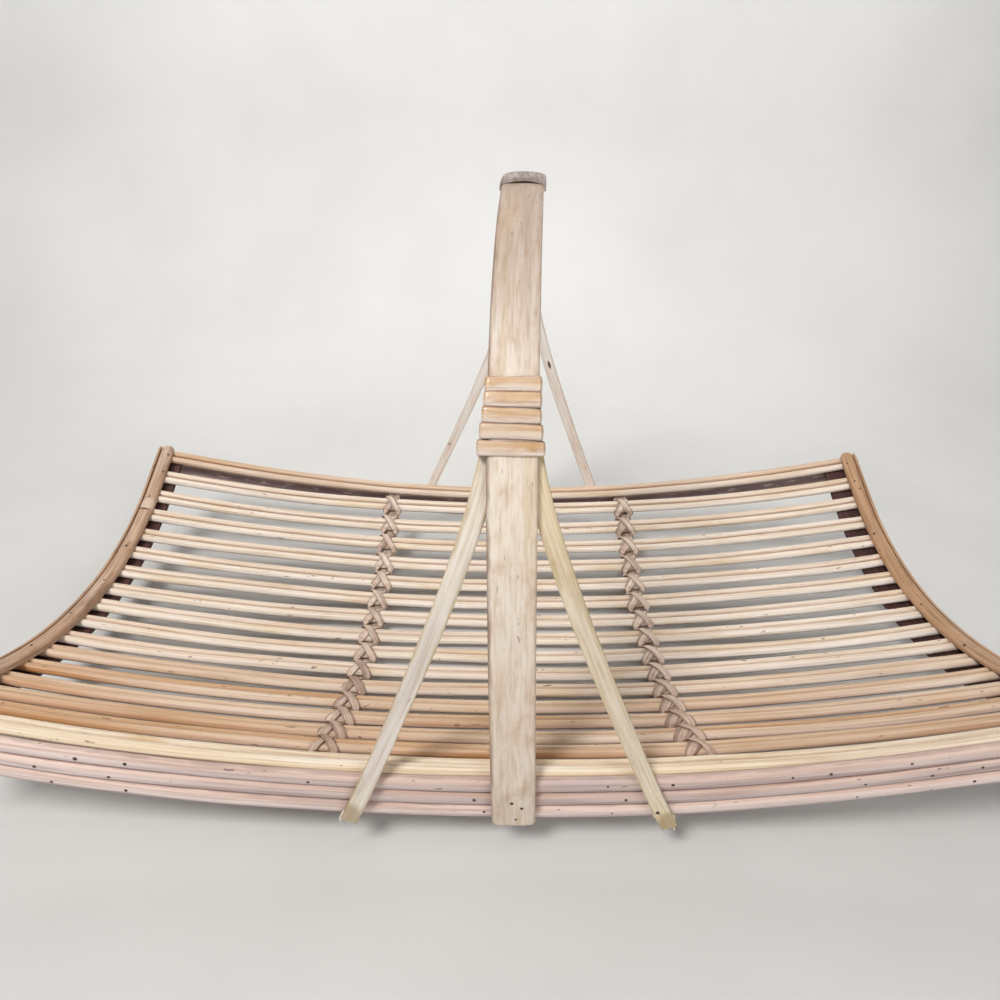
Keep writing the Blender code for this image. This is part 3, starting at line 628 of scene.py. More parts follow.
def make_finishes():
    cane, rim_cane, rod, hoop = CANE_RADIUS, RIM_CANE_RADIUS, HALF_ROD, HALF_HANDLE
    brace, peel, turn = FRONT_STRUT[0] / 2.0, PEEL_WIDTH / 2.0, BINDING_TURN_WIDTH / 2.0
    strut = dict(fibre=(30.0, 800.0), gloss=(0.5, 0.7), relief=0.00012)
    front_strut = dict(strut, streak=(30.0, 150.0), blotch=(60.0, 110.0), specks=((110, 90, 66), 0.7),
                       ragged=0.0012)
    looks = {
        "straw_cane": dict(
            tones=((254, 248, 242), (252, 242, 228), (240, 222, 194)),
            aged_and_shaded=((195, 140, 88), 0.88),
            # Painted shade: a golden tint over the top of each cane, a dark tint on its underside, and a
            # tan tint along the side that meets the pair's other cane, in the groove between them
            heights=[((242, 216, 182), 0.35 * cane, 0.9 * cane, 0.35),
                     ((104, 74, 60), -0.05 * cane, -0.80 * cane, 0.8)],
            edges=[((190, 150, 110), 0.45 * cane, 0.98 * cane, 0.65)],
            specks=((120, 84, 58), 0.8), fibre_shade=(228, 218, 208), relief=0.00006, ragged=0.0005),
        "golden_cane": dict(
            tones=((250, 236, 216), (244, 222, 190), (226, 194, 150)),
            # Painted shade: a dark tint on the underside of each rim cane and a tan tint along the side
            # that meets its mate, in the groove between them
            heights=[((116, 82, 64), -0.15 * rim_cane, -0.85 * rim_cane, 0.75)],
            edges=[((184, 142, 100), 0.45 * rim_cane, rim_cane, 0.65)],
            specks=((120, 84, 58), 0.8), fibre_shade=(224, 212, 198), relief=0.00008, ragged=0.0006),
        "brown_bar": dict(
            tones=((216, 184, 160), (196, 160, 132), (158, 122, 96)), fibre=(22.0, 700.0),
            blotch=(46.0, 120.0), aged_and_shaded=((198, 152, 108), 0.75), weather=((222, 200, 184), 0.5),
            specks=((84, 56, 42), 1.0), gloss=(0.55, 0.75), relief=0.0002, ragged=0.0008,
            marks=[((226, 202, 182), (BAR_KNOT, 0.0), (0.0080, 0.0065), 0.8),
                   ((116, 84, 66), (BAR_KNOT - 0.0055, 0.0010), (0.0013, 0.0050), 1.0)]),
        # Its very dark tone is partly painted shade: the bar lies under the top bar and the slat ends
        "dark_bar": dict(
            tones=((96, 62, 56), (76, 48, 44), (52, 34, 34)), fibre=(20.0, 600.0),
            weather=((120, 92, 84), 0.4), gloss=(0.6, 0.8), relief=0.0002),
        "pink_rod": dict(
            # Painted light and shade: a warm light tint on the upper half of each rod, a mauve tint on its
            # lower half, darker rims in the grooves between the rods and a dark tint on the flat inner
            # face; the aged tint greys the skirt by painted shade
            tones=((252, 234, 227), (241, 222, 214), (216, 192, 182)), fibre=(10.0, 700.0),
            streak=(3.0, 120.0), blotch=(12.0, 160.0), aged_and_shaded=((158, 132, 124), 0.52),
            edges=[((236, 200, 176), 0.1 * rod, 0.7 * rod, 0.45),
                   ((164, 142, 148), -0.1 * rod, -0.7 * rod, 0.45)] +
            both_edges((176, 150, 142), 0.82 * rod, rod, 0.5),
            heights=[((112, 84, 88), 0.0005, 0.0, 0.8)],
            weather=((196, 178, 178), 0.6), specks=((96, 74, 66), 0.8), fibre_shade=(224, 212, 206),
            gloss=(0.55, 0.75), relief=0.00014, ragged=0.0012),
        "handle_bamboo": dict(
            tones=((250, 237, 222), (244, 226, 208), (226, 201, 176)),
            fibre=(70.0, 800.0), streak=(50.0, 120.0), blotch=(70.0, 90.0), aged_and_shaded=((146, 116, 98), 0.85),
            # Painted shade: darker tints along both edges of the hoop, the left one darker; the aged tint
            # darkens the hoop by painted shade towards the crown and the feet
            edges=[((140, 108, 90), -0.78 * hoop, -1.0 * hoop, 0.8),
                   ((200, 172, 146), 0.84 * hoop, 1.0 * hoop, 0.6)],
            weather=((216, 190, 146), 0.45), specks=((120, 92, 70), 0.5), fibre_shade=(233, 226, 215),
            gloss=(0.42, 0.6), relief=0.00006, ragged=0.0016),
        "binding_peel": dict(
            tones=((234, 214, 194), (226, 198, 166), (204, 166, 124)), fibre=(40.0, 700.0),
            streak=(40.0, 160.0), blotch=(80.0, 160.0),
            # Painted light and shade across each turn: a pale band on one half, a golden band over its
            # middle and darker rims at its edges, where the turns meet
            edges=[((240, 226, 218), -0.25 * turn, -0.75 * turn, 0.65),
                   ((216, 172, 120), -0.30 * turn, 0.30 * turn, 0.6)] +
            both_edges((168, 132, 110), 0.76 * turn, turn, 0.75),
            weather=((220, 206, 198), 0.4), fibre_shade=(230, 220, 210), gloss=(0.20, 0.38),
            relief=0.0001, coat=0.5, ragged=0.0010),
        "lashing_peel": dict(
            tones=((242, 222, 206), (220, 194, 176), (174, 146, 130)),
            fibre=(40.0, 1300.0), streak=(30.0, 420.0), aged_and_shaded=((176, 136, 108), 0.7),
            # Painted shade: a darker tint along both edges of each strip of peel
            edges=both_edges((136, 108, 92), 0.66 * peel, peel, 0.6),
            gloss=(0.45, 0.65), relief=0.00016, ragged=0.0004),
        "pale_strut": dict(
            front_strut, tones=((251, 240, 224), (244, 233, 214), (228, 213, 188)),
            aged_and_shaded=((222, 211, 204), 0.75),
            edges=both_edges((202, 178, 126), 0.62 * brace, 0.95 * brace, 0.65),
            weather=((214, 204, 198), 0.5), fibre_shade=(232, 224, 214),
            marks=[((166, 142, 104), (FRONT_LEFT_FOOT, 0.002), (0.0150, 0.0100), 0.7)]),
        "olive_strut": dict(
            front_strut, tones=((249, 235, 206), (240, 221, 184), (222, 200, 154)),
            aged_and_shaded=((212, 196, 182), 0.7),
            edges=both_edges((198, 176, 128), 0.55 * brace, 0.95 * brace, 0.55),
            weather=((214, 202, 192), 0.5), fibre_shade=(230, 222, 210),
            marks=[((164, 140, 98), (FRONT_RIGHT_FOOT, -0.002), (0.0130, 0.0090), 0.7),
                   ((58, 42, 34), (FRONT_RIGHT_FOOT - 0.012, 0.0020), (0.0014, 0.0011), 1.0)]),
        "whitish_strut": dict(
            # Near-white tones that are partly painted light, to lighten the rear struts, which stand in
            # shade
            strut, tones=((255, 250, 244), (252, 243, 234), (240, 224, 210)),
            streak=(16.0, 200.0), blotch=(30.0, 120.0),
            edges=both_edges((206, 184, 164), 0.60 * brace, 0.78 * brace, 0.5),
            specks=((110, 84, 70), 0.9), fibre_shade=(238, 229, 222), ragged=0.0008,
            marks=[((112, 70, 52), (REAR_KNOT, 0.0004), (0.0042, 0.0013), 1.0)]),
        "crown_grey": dict(
            tones=((190, 176, 170), (168, 152, 146), (132, 116, 110)),
            fibre=(60.0, 500.0), streak=(40.0, 160.0), weather=((206, 196, 192), 0.5),
            specks=((84, 70, 66), 0.8), gloss=(0.7, 0.9), relief=0.0003),
        "rib_wood": dict(
            tones=((206, 186, 168), (184, 160, 142), (146, 120, 104)), fibre=(300.0, 60.0),
            streak=(120.0, 14.0), blotch=(60.0, 20.0), weather=((196, 188, 184), 0.5),
            gloss=(0.6, 0.8), relief=0.0002, own_bench=False),
        "nail_iron": dict(
            tones=((92, 78, 70), (70, 56, 50), (48, 36, 32)), fibre=(900.0, 900.0),
            streak=(500.0, 500.0), blotch=(300.0, 300.0), gloss=(0.4, 0.6), relief=0.00005,
            own_bench=False),
    }
    return {name: timber(name, **look) for name, look in looks.items()}


FINISHES = make_finishes()


# Tray pieces

# How far a half-round strip reaches behind its flat face
FLAT_DROP = 0.0001

# How sun-tanned the slats are: the rear rim's, the rear ones and how much more the front ones are,
# and how much painted shade makes the rear cane of each pair browner
REAR_RIM_AGE = 0.5
SLAT_AGE = 0.06
FRONT_EXTRA_AGE = 0.80
REAR_CANE_EXTRA_SHADE = 0.12


def pair_age(pair):
    """How sun-tanned a pair is: the rear rim's and the ones nearer the front rim are browner."""
    if pair == 1:
        return REAR_RIM_AGE
    share = min(1.0, max(0.0, (pair - 9.0) / 6.0))
    return SLAT_AGE + FRONT_EXTRA_AGE * share * share * (3.0 - 2.0 * share)


# How much the sun-tan of the slats shows: (place along the tray, share)
SLAT_WEAR = ((-0.27, 1.35), (-0.08, 1.05), (0.12, 0.95), (0.27, 0.85))

# How far a pair wanders to the sides and up, how near a bar or rib it is held, and over which length
# a rim cane is whittled
PAIR_DRIFT = 0.0009
PAIR_LIFT = 0.0005
HELD_FREE = 0.03
WHITTLED_LENGTH = 0.012


def dress_canes():
    """Round canes that swell and thin a little and wander in step with the other cane of the pair."""
    held = HALF_LENGTH - max(BOTTOM_BAR_WIDTH_LEFT, BOTTOM_BAR_WIDTH_RIGHT) - RIM_CANE_DIAMETER
    whittled = ((held - WHITTLED_LENGTH, 1.0), (held, CANE_RADIUS / RIM_CANE_RADIUS))
    for pair in range(1, PAIR_COUNT + 1):
        rim = pair == PAIR_COUNT
        finish = "golden_cane" if rim else "straw_cane"
        diameter = RIM_CANE_DIAMETER if rim else CANE_DIAMETER
        spacing = RIM_CANE_SPACING if rim else CANE_SPACING
        drift = 0.0 if pair in (1, PAIR_COUNT) else PAIR_DRIFT
        for side, label in ((-1, "front"), (1, "rear")):
            seed = 2 * pair + (side > 0)
            row = []
            for run in even_steps(-HALF_LENGTH, HALF_LENGTH, STATION_STEP):
                free = min(1.0, abs(abs(run) - RIB_X) / HELD_FREE)
                free *= min(1.0, (HALF_LENGTH - abs(run)) / HELD_FREE)
                across = pair_across(pair) + side * spacing / 2.0 + wander(pair, run, 0.11, drift)
                place = (run, across, free * wander(pair + 40, run, 0.13, PAIR_LIFT))
                girth = 0.99 + wander(seed + 80, run, 0.09, 0.02)
                if rim:
                    girth *= between(whittled, abs(run))
                wear_and_shade = between(SLAT_WEAR, run) + wander(seed + 20, run, 0.15, 0.5)
                row.append(station(on_tray, place, -side * ACROSS, UP, run, girth, girth, wear_and_shade))
            # The rear cane of each pair is made browner by painted shade on top of its age
            strips(f"slat_{pair:02d}_{label}", [row], finish, f"cane_{pair:02d}_{label}", diameter,
                   width=diameter, unevenness=0.02, lump_length=0.05, seed=seed,
                   age=pair_age(pair) + (REAR_CANE_EXTRA_SHADE if side > 0 else 0.0))


# How full a bar is near its ends, (distance from the end, share), and how far the left one's knot swells
BAR_ENDS = (0.0, 0.72), (0.0012, 0.86), (0.0035, 0.97), (0.008, 1.0)
KNOT_SWELL = 0.05


def dress_end_bars(label, side):
    """Bark-covered half-round bar on top, dark flat bar below and the thin facing strip outside."""
    rim_end = across_at_y(rim_face_y(), 0.0)
    tan = 0.25 if side < 0 else 1.0

    def row(along, end, height, girth=lambda run: 1.0):
        stops = even_steps(-end, end, FINE_STEP)
        stops = sorted(stops + [sign * (end - inset) for sign in (-1, 1) for inset in (0.0012, 0.003)])
        return [station(on_tray, (side * along, run, height), side * ALONG, UP, run,
                        girth(run), girth(run)) for run in stops]

    def rounded(run):
        return between(BAR_ENDS, rim_end - abs(run))

    def knobbly(run):
        knot = KNOT_SWELL * math.exp(-((run - 0.105) / 0.006) ** 2) if side < 0 else 0.0
        return rounded(run) * (0.96 + knot + wander(50 + side, run, 0.05, 0.03))

    top = row(HALF_LENGTH - TOP_BAR_WIDTH / 2.0, rim_end, SLAT_TOP, knobbly)
    strips(f"bark_bar_{label}", [top], "brown_bar", f"end_bar_top_{label}", width=TOP_BAR_WIDTH,
           rise=TOP_BAR_THICKNESS, drop=FLAT_DROP, top_curve=0.8, back_curve=0.3, sides=22,
           unevenness=0.03, lump_length=0.02, age=tan, seed=101 + side)
    width = BOTTOM_BAR_WIDTH_LEFT if side < 0 else BOTTOM_BAR_WIDTH_RIGHT
    middle = -(SLAT_TOP + BOTTOM_BAR_THICKNESS / 2.0)
    under = row(HALF_LENGTH - width / 2.0, RIM_CANE_ACROSS, middle)
    strips(f"under_bar_{label}", [under], "dark_bar", f"end_bar_bottom_{label}", BOTTOM_BAR_THICKNESS,
           width=width, top_curve=0.25, back_curve=0.3, sides=20, unevenness=0.01, seed=111 + side)
    low, high = -(SLAT_TOP + BOTTOM_BAR_THICKNESS), SLAT_TOP + END_STRIP_TOP
    facing = row(HALF_LENGTH + CLEARANCE + END_STRIP_THICKNESS / 2.0, rim_end, (low + high) / 2.0, rounded)
    strips(f"facing_strip_{label}", [facing], "brown_bar", f"end_strip_{label}", high - low,
           width=END_STRIP_THICKNESS, top_curve=0.35, back_curve=0.35, sides=20, age=tan,
           seed=121 + side)


# Painted shade that greys the skirt, none at the left of the front rim and most in its middle, (place
# along the front rim, share), and how much of it each rod shows
SKIRT_SHADE = ((-0.24, 0.0), (-0.12, 0.8), (0.02, 1.0), (0.2, 0.7))
SKIRT_ROD_SHADE = (0.9, 1.15, 0.35)

# How far the rods rise at the right and sag at the left of the front rim
SKIRT_DRIFT = (((0.09, 0.0), (0.22, 0.0026)), ((0.10, 0.0), (0.22, 0.0020)))


def skirt_drift(run, index):
    """How far a skirt rod rises or sags at a place along the rim."""
    fade = min(1.0, (HALF_LENGTH - abs(run)) / 0.05)
    rise, sag = SKIRT_DRIFT
    return fade * (between(rise, run) - between(sag, -run) + wander(index + 7, run, 0.12, 0.0004))


def rod_middle(index):
    return -HALF_ROD - index * (SKIRT_ROD_HEIGHT + CLEARANCE)


def dress_skirt(label, side):
    """Half-round rods, flat side in, that sag and rise a little from place to place."""
    end = HALF_LENGTH - SKIRT_END_SETBACK
    for index in range(SKIRT_ROD_COUNT):
        seed = 131 + 10 * index + side
        row = []
        for run in even_steps(-end, end, STATION_STEP):
            drift = skirt_drift(run, index) if side < 0 else wander(seed, run, 0.12, 0.0005)
            girth = 0.99 + wander(seed + 3, run, 0.07, 0.02)
            wear_and_shade = between(SKIRT_SHADE, side * -run) * SKIRT_ROD_SHADE[index]
            row.append(station(on_rim(side), (run, 0.0, rod_middle(index) + drift), UP, ACROSS, run,
                               girth, girth, wear_and_shade))
        strips(f"edge_rod_{label}_{index + 1}", [row], "pink_rod", f"skirt_{label}_{index + 1}",
               width=SKIRT_ROD_HEIGHT, rise=SKIRT_ROD_THICKNESS, drop=FLAT_DROP, top_curve=0.66,
               back_curve=0.3, sides=20, unevenness=0.03, lump_length=0.04, seed=seed)


# Ties: two strips of peel laced along each rib that cross over every pair

def smooth_row(points, pieces):
    """Points on a smooth curve through the given ones (Catmull-Rom), each a tuple of vectors."""
    fine = []
    for index in range(len(points) - 1):
        before = points[max(0, index - 1)]
        start, end = points[index], points[index + 1]
        after = points[min(len(points) - 1, index + 2)]
        for step in range(pieces):
            t = step / pieces
            fine.append(tuple(
                0.5 * (2.0 * b + t * (c - a) + t * t * (2.0 * a - 5.0 * b + 4.0 * c - d)
                       + t ** 3 * (3.0 * b - a - 3.0 * c + d))
                for a, b, c, d in zip(before, start, end, after)))
    fine.append(points[-1])
    return fine


def around(centre_y, radius, degrees):
    """Place round a cane, at an angle from straight up towards the rear, and the way it faces."""
    angle = math.radians(degrees)
    face_y, face_z = math.sin(angle), math.cos(angle)
    return centre_y + radius * face_y, radius * face_z, face_y, face_z


# How a strip comes up the rear cane and goes down the front one: (share of the way out from the rib's
# middle, degrees from straight up, and on the way down the share of its leaf's extra width)
TIE_RISE = (0.80, 80.0), (0.50, 34.0)
TIE_FALL = (0.40, -8.0, 1.0), (0.74, -48.0, 0.5), (1.00, -92.0, 0.5)
TIE_CORNER = 0.0012

# Where the strips cross behind a pair's middle, and how far the ties differ in that, in lean and width
TIE_CROSSING, CROSSING_SPREAD, LEAN_SPREAD, GIRTH_SPREAD = 0.0012, 0.0007, 0.0005, 0.08

# How much wider the ties near the front are, and how wide the last one is
FRONT_TIE_EXTRA, LAST_TIE = 0.16, 0.9


def tie_points(side, hand, layer, draw):
    """Control points of one laced strip: (place on the bench, way it faces), from rear to front."""
    half_peel = PEEL_THICKNESS / 2.0
    step = layer * (PEEL_THICKNESS + CLEARANCE)
    beside = RIB_WIDTH / 2.0 + CLEARANCE + half_peel + step
    under = CANE_RADIUS + RIB_NOTCH_ROOT + 2.0 * CLEARANCE + half_peel + step
    over = SLAT_TOP + half_peel + step
    rear, front = CANE_SPACING / 2.0, -CANE_SPACING / 2.0
    leaf = 0.85 if side > 0 and hand > 0 else 0.15
    points = []

    def put(x, y, z, facing, swell=0.9):
        points.append((Vector((x, y, z)), Vector(facing), Vector((girth * swell, flare, 0.0))))

    for pair in range(2, PAIR_COUNT):
        middle = pair_across(pair)
        behind, ahead = middle + half_pitch(pair, 1), middle - half_pitch(pair, -1)
        flare = max(0.0, (pair - 10) / 6.0)
        girth = 1.0 + FRONT_TIE_EXTRA * flare if pair < PAIR_COUNT - 1 else LAST_TIE
        girth += draw.uniform(-GIRTH_SPREAD, GIRTH_SPREAD)
        lean = draw.uniform(-LEAN_SPREAD, LEAN_SPREAD)
        crossing = TIE_CROSSING + draw.uniform(-CROSSING_SPREAD, CROSSING_SPREAD)
        put(hand * beside, behind, -CANE_RADIUS, (hand, 0.0, 0.0))
        for share, degrees in TIE_RISE:
            y, z, face_y, face_z = around(rear, over, degrees)
            put(hand * share * beside + lean, middle + y, z, (0.15 * hand, face_y, face_z))
        put(lean, middle + crossing, over, (0.0, 0.0, 1.0), 1.0 + leaf)
        for share, degrees, spread in TIE_FALL:
            y, z, face_y, face_z = around(front, over, degrees)
            put(-hand * share * beside + lean, middle + y, z, (-0.2 * hand, face_y, face_z),
                1.0 + spread * leaf)
        put(-hand * beside, ahead, -CANE_RADIUS, (-hand, 0.0, 0.0))
        put(-hand * beside, ahead, -under + TIE_CORNER, (-hand, 0.0, -0.3))
        put(0.0, ahead, -under, (0.0, 0.0, -1.0))
        if pair < PAIR_COUNT - 1:
            put(hand * beside, ahead, -under + TIE_CORNER, (hand, 0.0, -0.3))
    return points


def dress_lashing(label, side):
    draw = random.Random(11 + side)
    rows = []
    for hand, layer in ((1, 0), (-1, 1)):
        points = smooth_row(tie_points(side, hand, layer, draw), 4)
        row, run = [], 2.0 * layer
        for index, (place, facing, girth) in enumerate(points):
            before, after = points[max(0, index - 1)][0], points[min(len(points) - 1, index + 1)][0]
            course = (after - before).normalized()
            facing = (facing - facing.dot(course) * course).normalized()
            run += (place - before).length
            shifted = place + side * RIB_X * ALONG
            row.append(station(on_tray, shifted, course.cross(facing), facing, run, girth.x, wear_and_shade=girth.y))
        rows.append(row)
    strips(f"tie_row_{label}", rows, "lashing_peel", f"lashing_{label}", PEEL_THICKNESS,
           width=PEEL_WIDTH, top_curve=0.6, back_curve=0.4, sides=12, unevenness=0.04,
           lump_length=0.012, age=0.8, seed=141 + side)


# Handle pieces

def rounded_end(from_end, corner):
    """Share of the width that is left near an end whose corners are rounded."""
    if from_end >= corner:
        return 1.0
    inset = corner - math.sqrt(corner ** 2 - (corner - from_end) ** 2)
    return 1.0 - inset / HALF_HANDLE


# Painted shade on the handle, darkest at the crown, none down the lower legs and some again at the feet:
# (distance from the crown, share)
HOOP_SHADE = ((0.03, 1.0), (0.07, 0.92), (0.11, 0.62), (0.15, 0.2), (0.21, 0.0), (0.25, 0.16),
             (0.28, 0.28), (0.31, 0.35))
FOOT_CORNER = 0.0032


def dress_handle():
    """The hoop: a bamboo strip, domed outside, with rounded corners at its feet."""
    stops = even_steps(0.0, HOOP_END - FOOT_CORNER, FINE_STEP)
    stops += [HOOP_END - FOOT_CORNER * share for share in (0.7, 0.45, 0.25, 0.1, 0.0)]
    stops = [-stop for stop in reversed(stops[1:])] + stops
    row = []
    for run in stops:
        from_end = HOOP_END - abs(run)
        share = min(1.0, abs(run) / HOOP_ARC)
        girth = (HANDLE_CROWN_WIDTH / HANDLE_WIDTH) * (1.0 - share) + share
        girth *= rounded_end(from_end, FOOT_CORNER) * (0.995 + wander(61, run, 0.08, 0.006))
        depth = 0.93 * (1.0 - 0.35 * max(0.0, 1.0 - from_end / 0.001))
        wear_and_shade = between(HOOP_SHADE, abs(run))
        row.append(station(on_hoop, (0.0, run, 0.0), ALONG, UP, run, girth, depth, wear_and_shade))
    strips("carrying_hoop", [row], "handle_bamboo", "handle_hoop", HANDLE_THICKNESS,
           width=HANDLE_WIDTH, top_curve=0.5, back_curve=0.25, sides=26, unevenness=0.008,
           lump_length=0.04, seed=151)


# How far the crown's cover lifts at its front edge, how rough its faces and ragged its ends are, how far
# it keeps inside its solid, and how finely it is made along the hoop and round its arch
COVER_LIFT = 0.0007
COVER_ROUGH = 0.00018
COVER_RAGGED = 0.0006
COVER_SHRINK = 0.985
COVER_SINK = 0.0001
COVER_STEP = 0.0022
COVER_ARCH = 16


def dress_cover():
    """The weathered cap over the crown, its sides turned down and its front edge lifted."""
    half = HANDLE_CROWN_WIDTH / 2.0 + CLEARANCE
    outer = half + COVER_SIDE_THICKNESS
    low, high = HANDLE_FACE, HANDLE_FACE + COVER_THICKNESS

    def arch(width, rise):
        angles = [math.pi * k / COVER_ARCH for k in range(COVER_ARCH + 1)]
        return [(-width * math.cos(angle), rise * math.sin(angle) ** 0.55) for angle in angles]

    section = [(-outer, -COVER_SIDE_DEPTH)] + arch(outer, high) + [(outer, -COVER_SIDE_DEPTH)]
    section += [(half, -COVER_SIDE_DEPTH)] + arch(half, low)[::-1] + [(-half, -COVER_SIDE_DEPTH)]
    stops = even_steps(-COVER_LENGTH / 2.0, COVER_LENGTH / 2.0, COVER_STEP)
    points, benches = [], []
    for stop in stops:
        lift = COVER_LIFT * max(0.0, -stop / (COVER_LENGTH / 2.0) - 0.6) / 0.4
        for x, out in section:
            rough = COVER_ROUGH * noise.noise(Vector((x * 300.0, stop * 300.0, out * 300.0)))
            raised = out + (lift * (1.0 - (x / outer) ** 2) if out > 0.0 else 0.0)
            ragged = COVER_RAGGED * noise.noise(Vector((x * 160.0, 5.0, out * 160.0)))
            along = stop + (ragged if abs(stop) > COVER_LENGTH / 2.0 - 0.001 else 0.0)
            points.append(on_hoop((x, along, raised * COVER_SHRINK + rough - COVER_SINK)))
            benches.append((along, x, out))
    count, last = len(section), len(points) - len(section)
    faces = [(first + k, first + (k + 1) % count, first + count + (k + 1) % count, first + count + k)
             for first in range(0, last, count) for k in range(count)]
    faces += [tuple(range(count)), tuple(range(last + count - 1, last - 1, -1))]
    mesh = bpy.data.meshes.new("cover")
    mesh.from_pydata(points, [], faces)
    carry(mesh, "bench", benches)
    mesh.attributes.new("age", "FLOAT", "POINT")
    mesh.materials.append(FINISHES["crown_grey"])
    keep("crown_cap", mesh, "crown_cover")


STRUT_LENGTH = HOOP_END - BINDING_FROM_CROWN


def strut_share(distance):
    return (distance - BINDING_FROM_CROWN) / STRUT_LENGTH


def strut_x(end, side, distance):
    """Sideways place of a strut's middle, which leaves the binding straight and then bows out."""
    _, spread_x, bow, shift = FRONT_STRUT if end < 0 else REAR_STRUT
    bowed = math.hypot(distance - BINDING_FROM_CROWN, bow) - bow
    share = bowed / (math.hypot(STRUT_LENGTH, bow) - bow)
    return shift * share + side * (STRUT_TOP_X + (spread_x - STRUT_TOP_X) * share)


def strut_out(end, distance):
    """Height of a strut's middle: behind the handle while it lies there, then level with its back."""
    width, spread_x, bow, shift = FRONT_STRUT if end < 0 else REAR_STRUT
    behind = -(HANDLE_FACE + STRUT_THICKNESS / 2.0)
    rim_rise = on_rim(1)((spread_x, 0.0, 0.0)).z - on_rim(1)((0.0, 0.0, 0.0)).z
    lean = -HOOP[2][1]
    beside = CLEARANCE + rim_rise * math.tan(lean) - (HANDLE_THICKNESS - STRUT_THICKNESS) / 2.0
    clear_x = HALF_HANDLE + CLEARANCE + abs(shift) + width - STRUT_TOP_X
    reach = bow + clear_x / (spread_x - STRUT_TOP_X) * (math.hypot(STRUT_LENGTH, bow) - bow)
    clear = BINDING_FROM_CROWN + math.sqrt(reach ** 2 - bow ** 2)
    share = min(1.0, max(0.0, (distance - clear) / (HOOP_RIM - clear)))
    return behind + (beside - behind) * share


# How far aside the right struts stand, how worn a strut is, (share of its length, share), and how far
# the front left one ends above the others
BRACE_ASIDE = 0.0012
BRACE_WEAR = ((0.25, 0.2), (0.5, 0.9), (0.85, 1.0), (0.97, 0.1))
SHORT_FOOT = 0.003

# How wide a strut is at its top, how much narrower it gets and its finish, by end and side
BRACES = {(-1, -1): (1.04, 0.16, "pale_strut"), (-1, 1): (1.04, 0.16, "olive_strut"),
          (1, -1): (1.10, 0.16, "whitish_strut"), (1, 1): (1.04, -0.12, "whitish_strut")}


def brace_x(end, side, distance):
    """The strut's sideways place; on the right the front one starts and the rear one ends aside."""
    aside = 0.0 if side < 0 else strut_share(distance) - (1.0 if end < 0 else 0.0)
    return strut_x(end, side, distance) + BRACE_ASIDE * aside


def dress_strut(label, end, side_label, side):
    """A whittled strip that bows out from the binding to its foot on the skirt."""
    width = (FRONT_STRUT if end < 0 else REAR_STRUT)[0]
    full, taper, finish = BRACES[end, side]
    foot = HOOP_END - (SHORT_FOOT if end < 0 and side < 0 else 0.0)
    seed = 160 + 2 * end + side

    def middle(distance):
        return Vector((brace_x(end, side, distance), end * distance, strut_out(end, distance)))

    row = []
    for distance in even_steps(BINDING_FROM_CROWN, foot, FINE_STEP):
        course = (middle(distance + PROBE) - middle(distance - PROBE)).normalized()
        outward = (UP - UP.dot(course) * course).normalized()
        share = strut_share(distance)
        girth = full - taper * share + wander(seed, distance, 0.05, 0.03)
        row.append(station(on_hoop, middle(distance), course.cross(outward), outward, distance, girth,
                           wear_and_shade=between(BRACE_WEAR, share)))
    strips(f"brace_{label}_{side_label}", [row], finish, f"strut_{label}_{side_label}", STRUT_THICKNESS,
           slot="pale_strut", width=width, top_curve=0.28, back_curve=0.28, sides=20,
           unevenness=0.012, lump_length=0.02, seed=seed)
    if end < 0:
        fray_foot(f"foot_splinters_{side_label}", finish, middle, foot, width, seed)


# Splinters: how many, how wide and thick, and from how little to how much each starts above the foot,
# how long it is, how far it lifts at its root and how far it turns aside
SPLINTER_COUNT = 11
SPLINTER_WIDTH = 0.0016
SPLINTER_THICKNESS = 0.0012
SPLINTER_START = (0.004, 0.010)
SPLINTER_LENGTH = (0.0060, 0.0090)
SPLINTER_LIFT = (-0.0008, 0.0006)
SPLINTER_TURN = (-0.0014, 0.0014)


def fray_foot(name, finish, middle, foot, width, seed):
    """Short splinters that stand on past the whittled foot of a strut."""
    draw = random.Random(seed)
    rows = []
    for index in range(SPLINTER_COUNT):
        aside = width * (0.50 * (2.0 * index / (SPLINTER_COUNT - 1) - 1.0) + draw.uniform(-0.04, 0.04))
        start, length = foot - draw.uniform(*SPLINTER_START), draw.uniform(*SPLINTER_LENGTH)
        lift, turn = draw.uniform(*SPLINTER_LIFT), draw.uniform(*SPLINTER_TURN)
        row = []
        for step in range(5):
            share = step / 4.0
            distance = start + length * share
            place = middle(min(distance, foot)) + Vector((aside + turn * share, 0.0, lift * (1.0 - share)))
            place.y -= max(0.0, distance - foot)
            left = 1.0 - 0.7 * share
            row.append(station(on_hoop, place, ALONG, UP, distance, left, left, 0.0))
        rows.append(row)
    strips(name, rows, finish, thickness=SPLINTER_THICKNESS, slot="pale_strut", width=SPLINTER_WIDTH,
           sides=8, unevenness=0.05, lump_length=0.004, seed=seed + 40)


def rounded_loop(left, right, low, high, radius):
    """Points round a rectangle with rounded corners, each with the way it faces."""
    loop = []
    for x, y, turn in ((right, low, -90.0), (right, high, 0.0), (left, high, 90.0), (left, low, 180.0)):
        inner_x = x - math.copysign(radius, x - (left + right) / 2.0)
        inner_y = y - math.copysign(radius, y - (low + high) / 2.0)
        for step in range(6):
            angle = math.radians(turn + 18.0 * step)
            facing = (math.cos(angle), math.sin(angle))
            loop.append((inner_x + radius * facing[0], inner_y + radius * facing[1], facing))
        if turn in (0.0, 180.0):
            far = left + radius if turn == 0.0 else right - radius
            for step in range(1, 6):
                share = step / 6.0
                loop.append((inner_x + (far - inner_x) * share, y, (0.0, math.copysign(1.0, y))))
    return loop


# How thick the windings are, how round their corners, and how far a turn slants and strays
WINDING_RISE = 0.0008
WINDING_CORNER = 0.0013
WINDING_SLANT = (-0.0009, 0.0012)
WINDING_STRAY = 0.0003


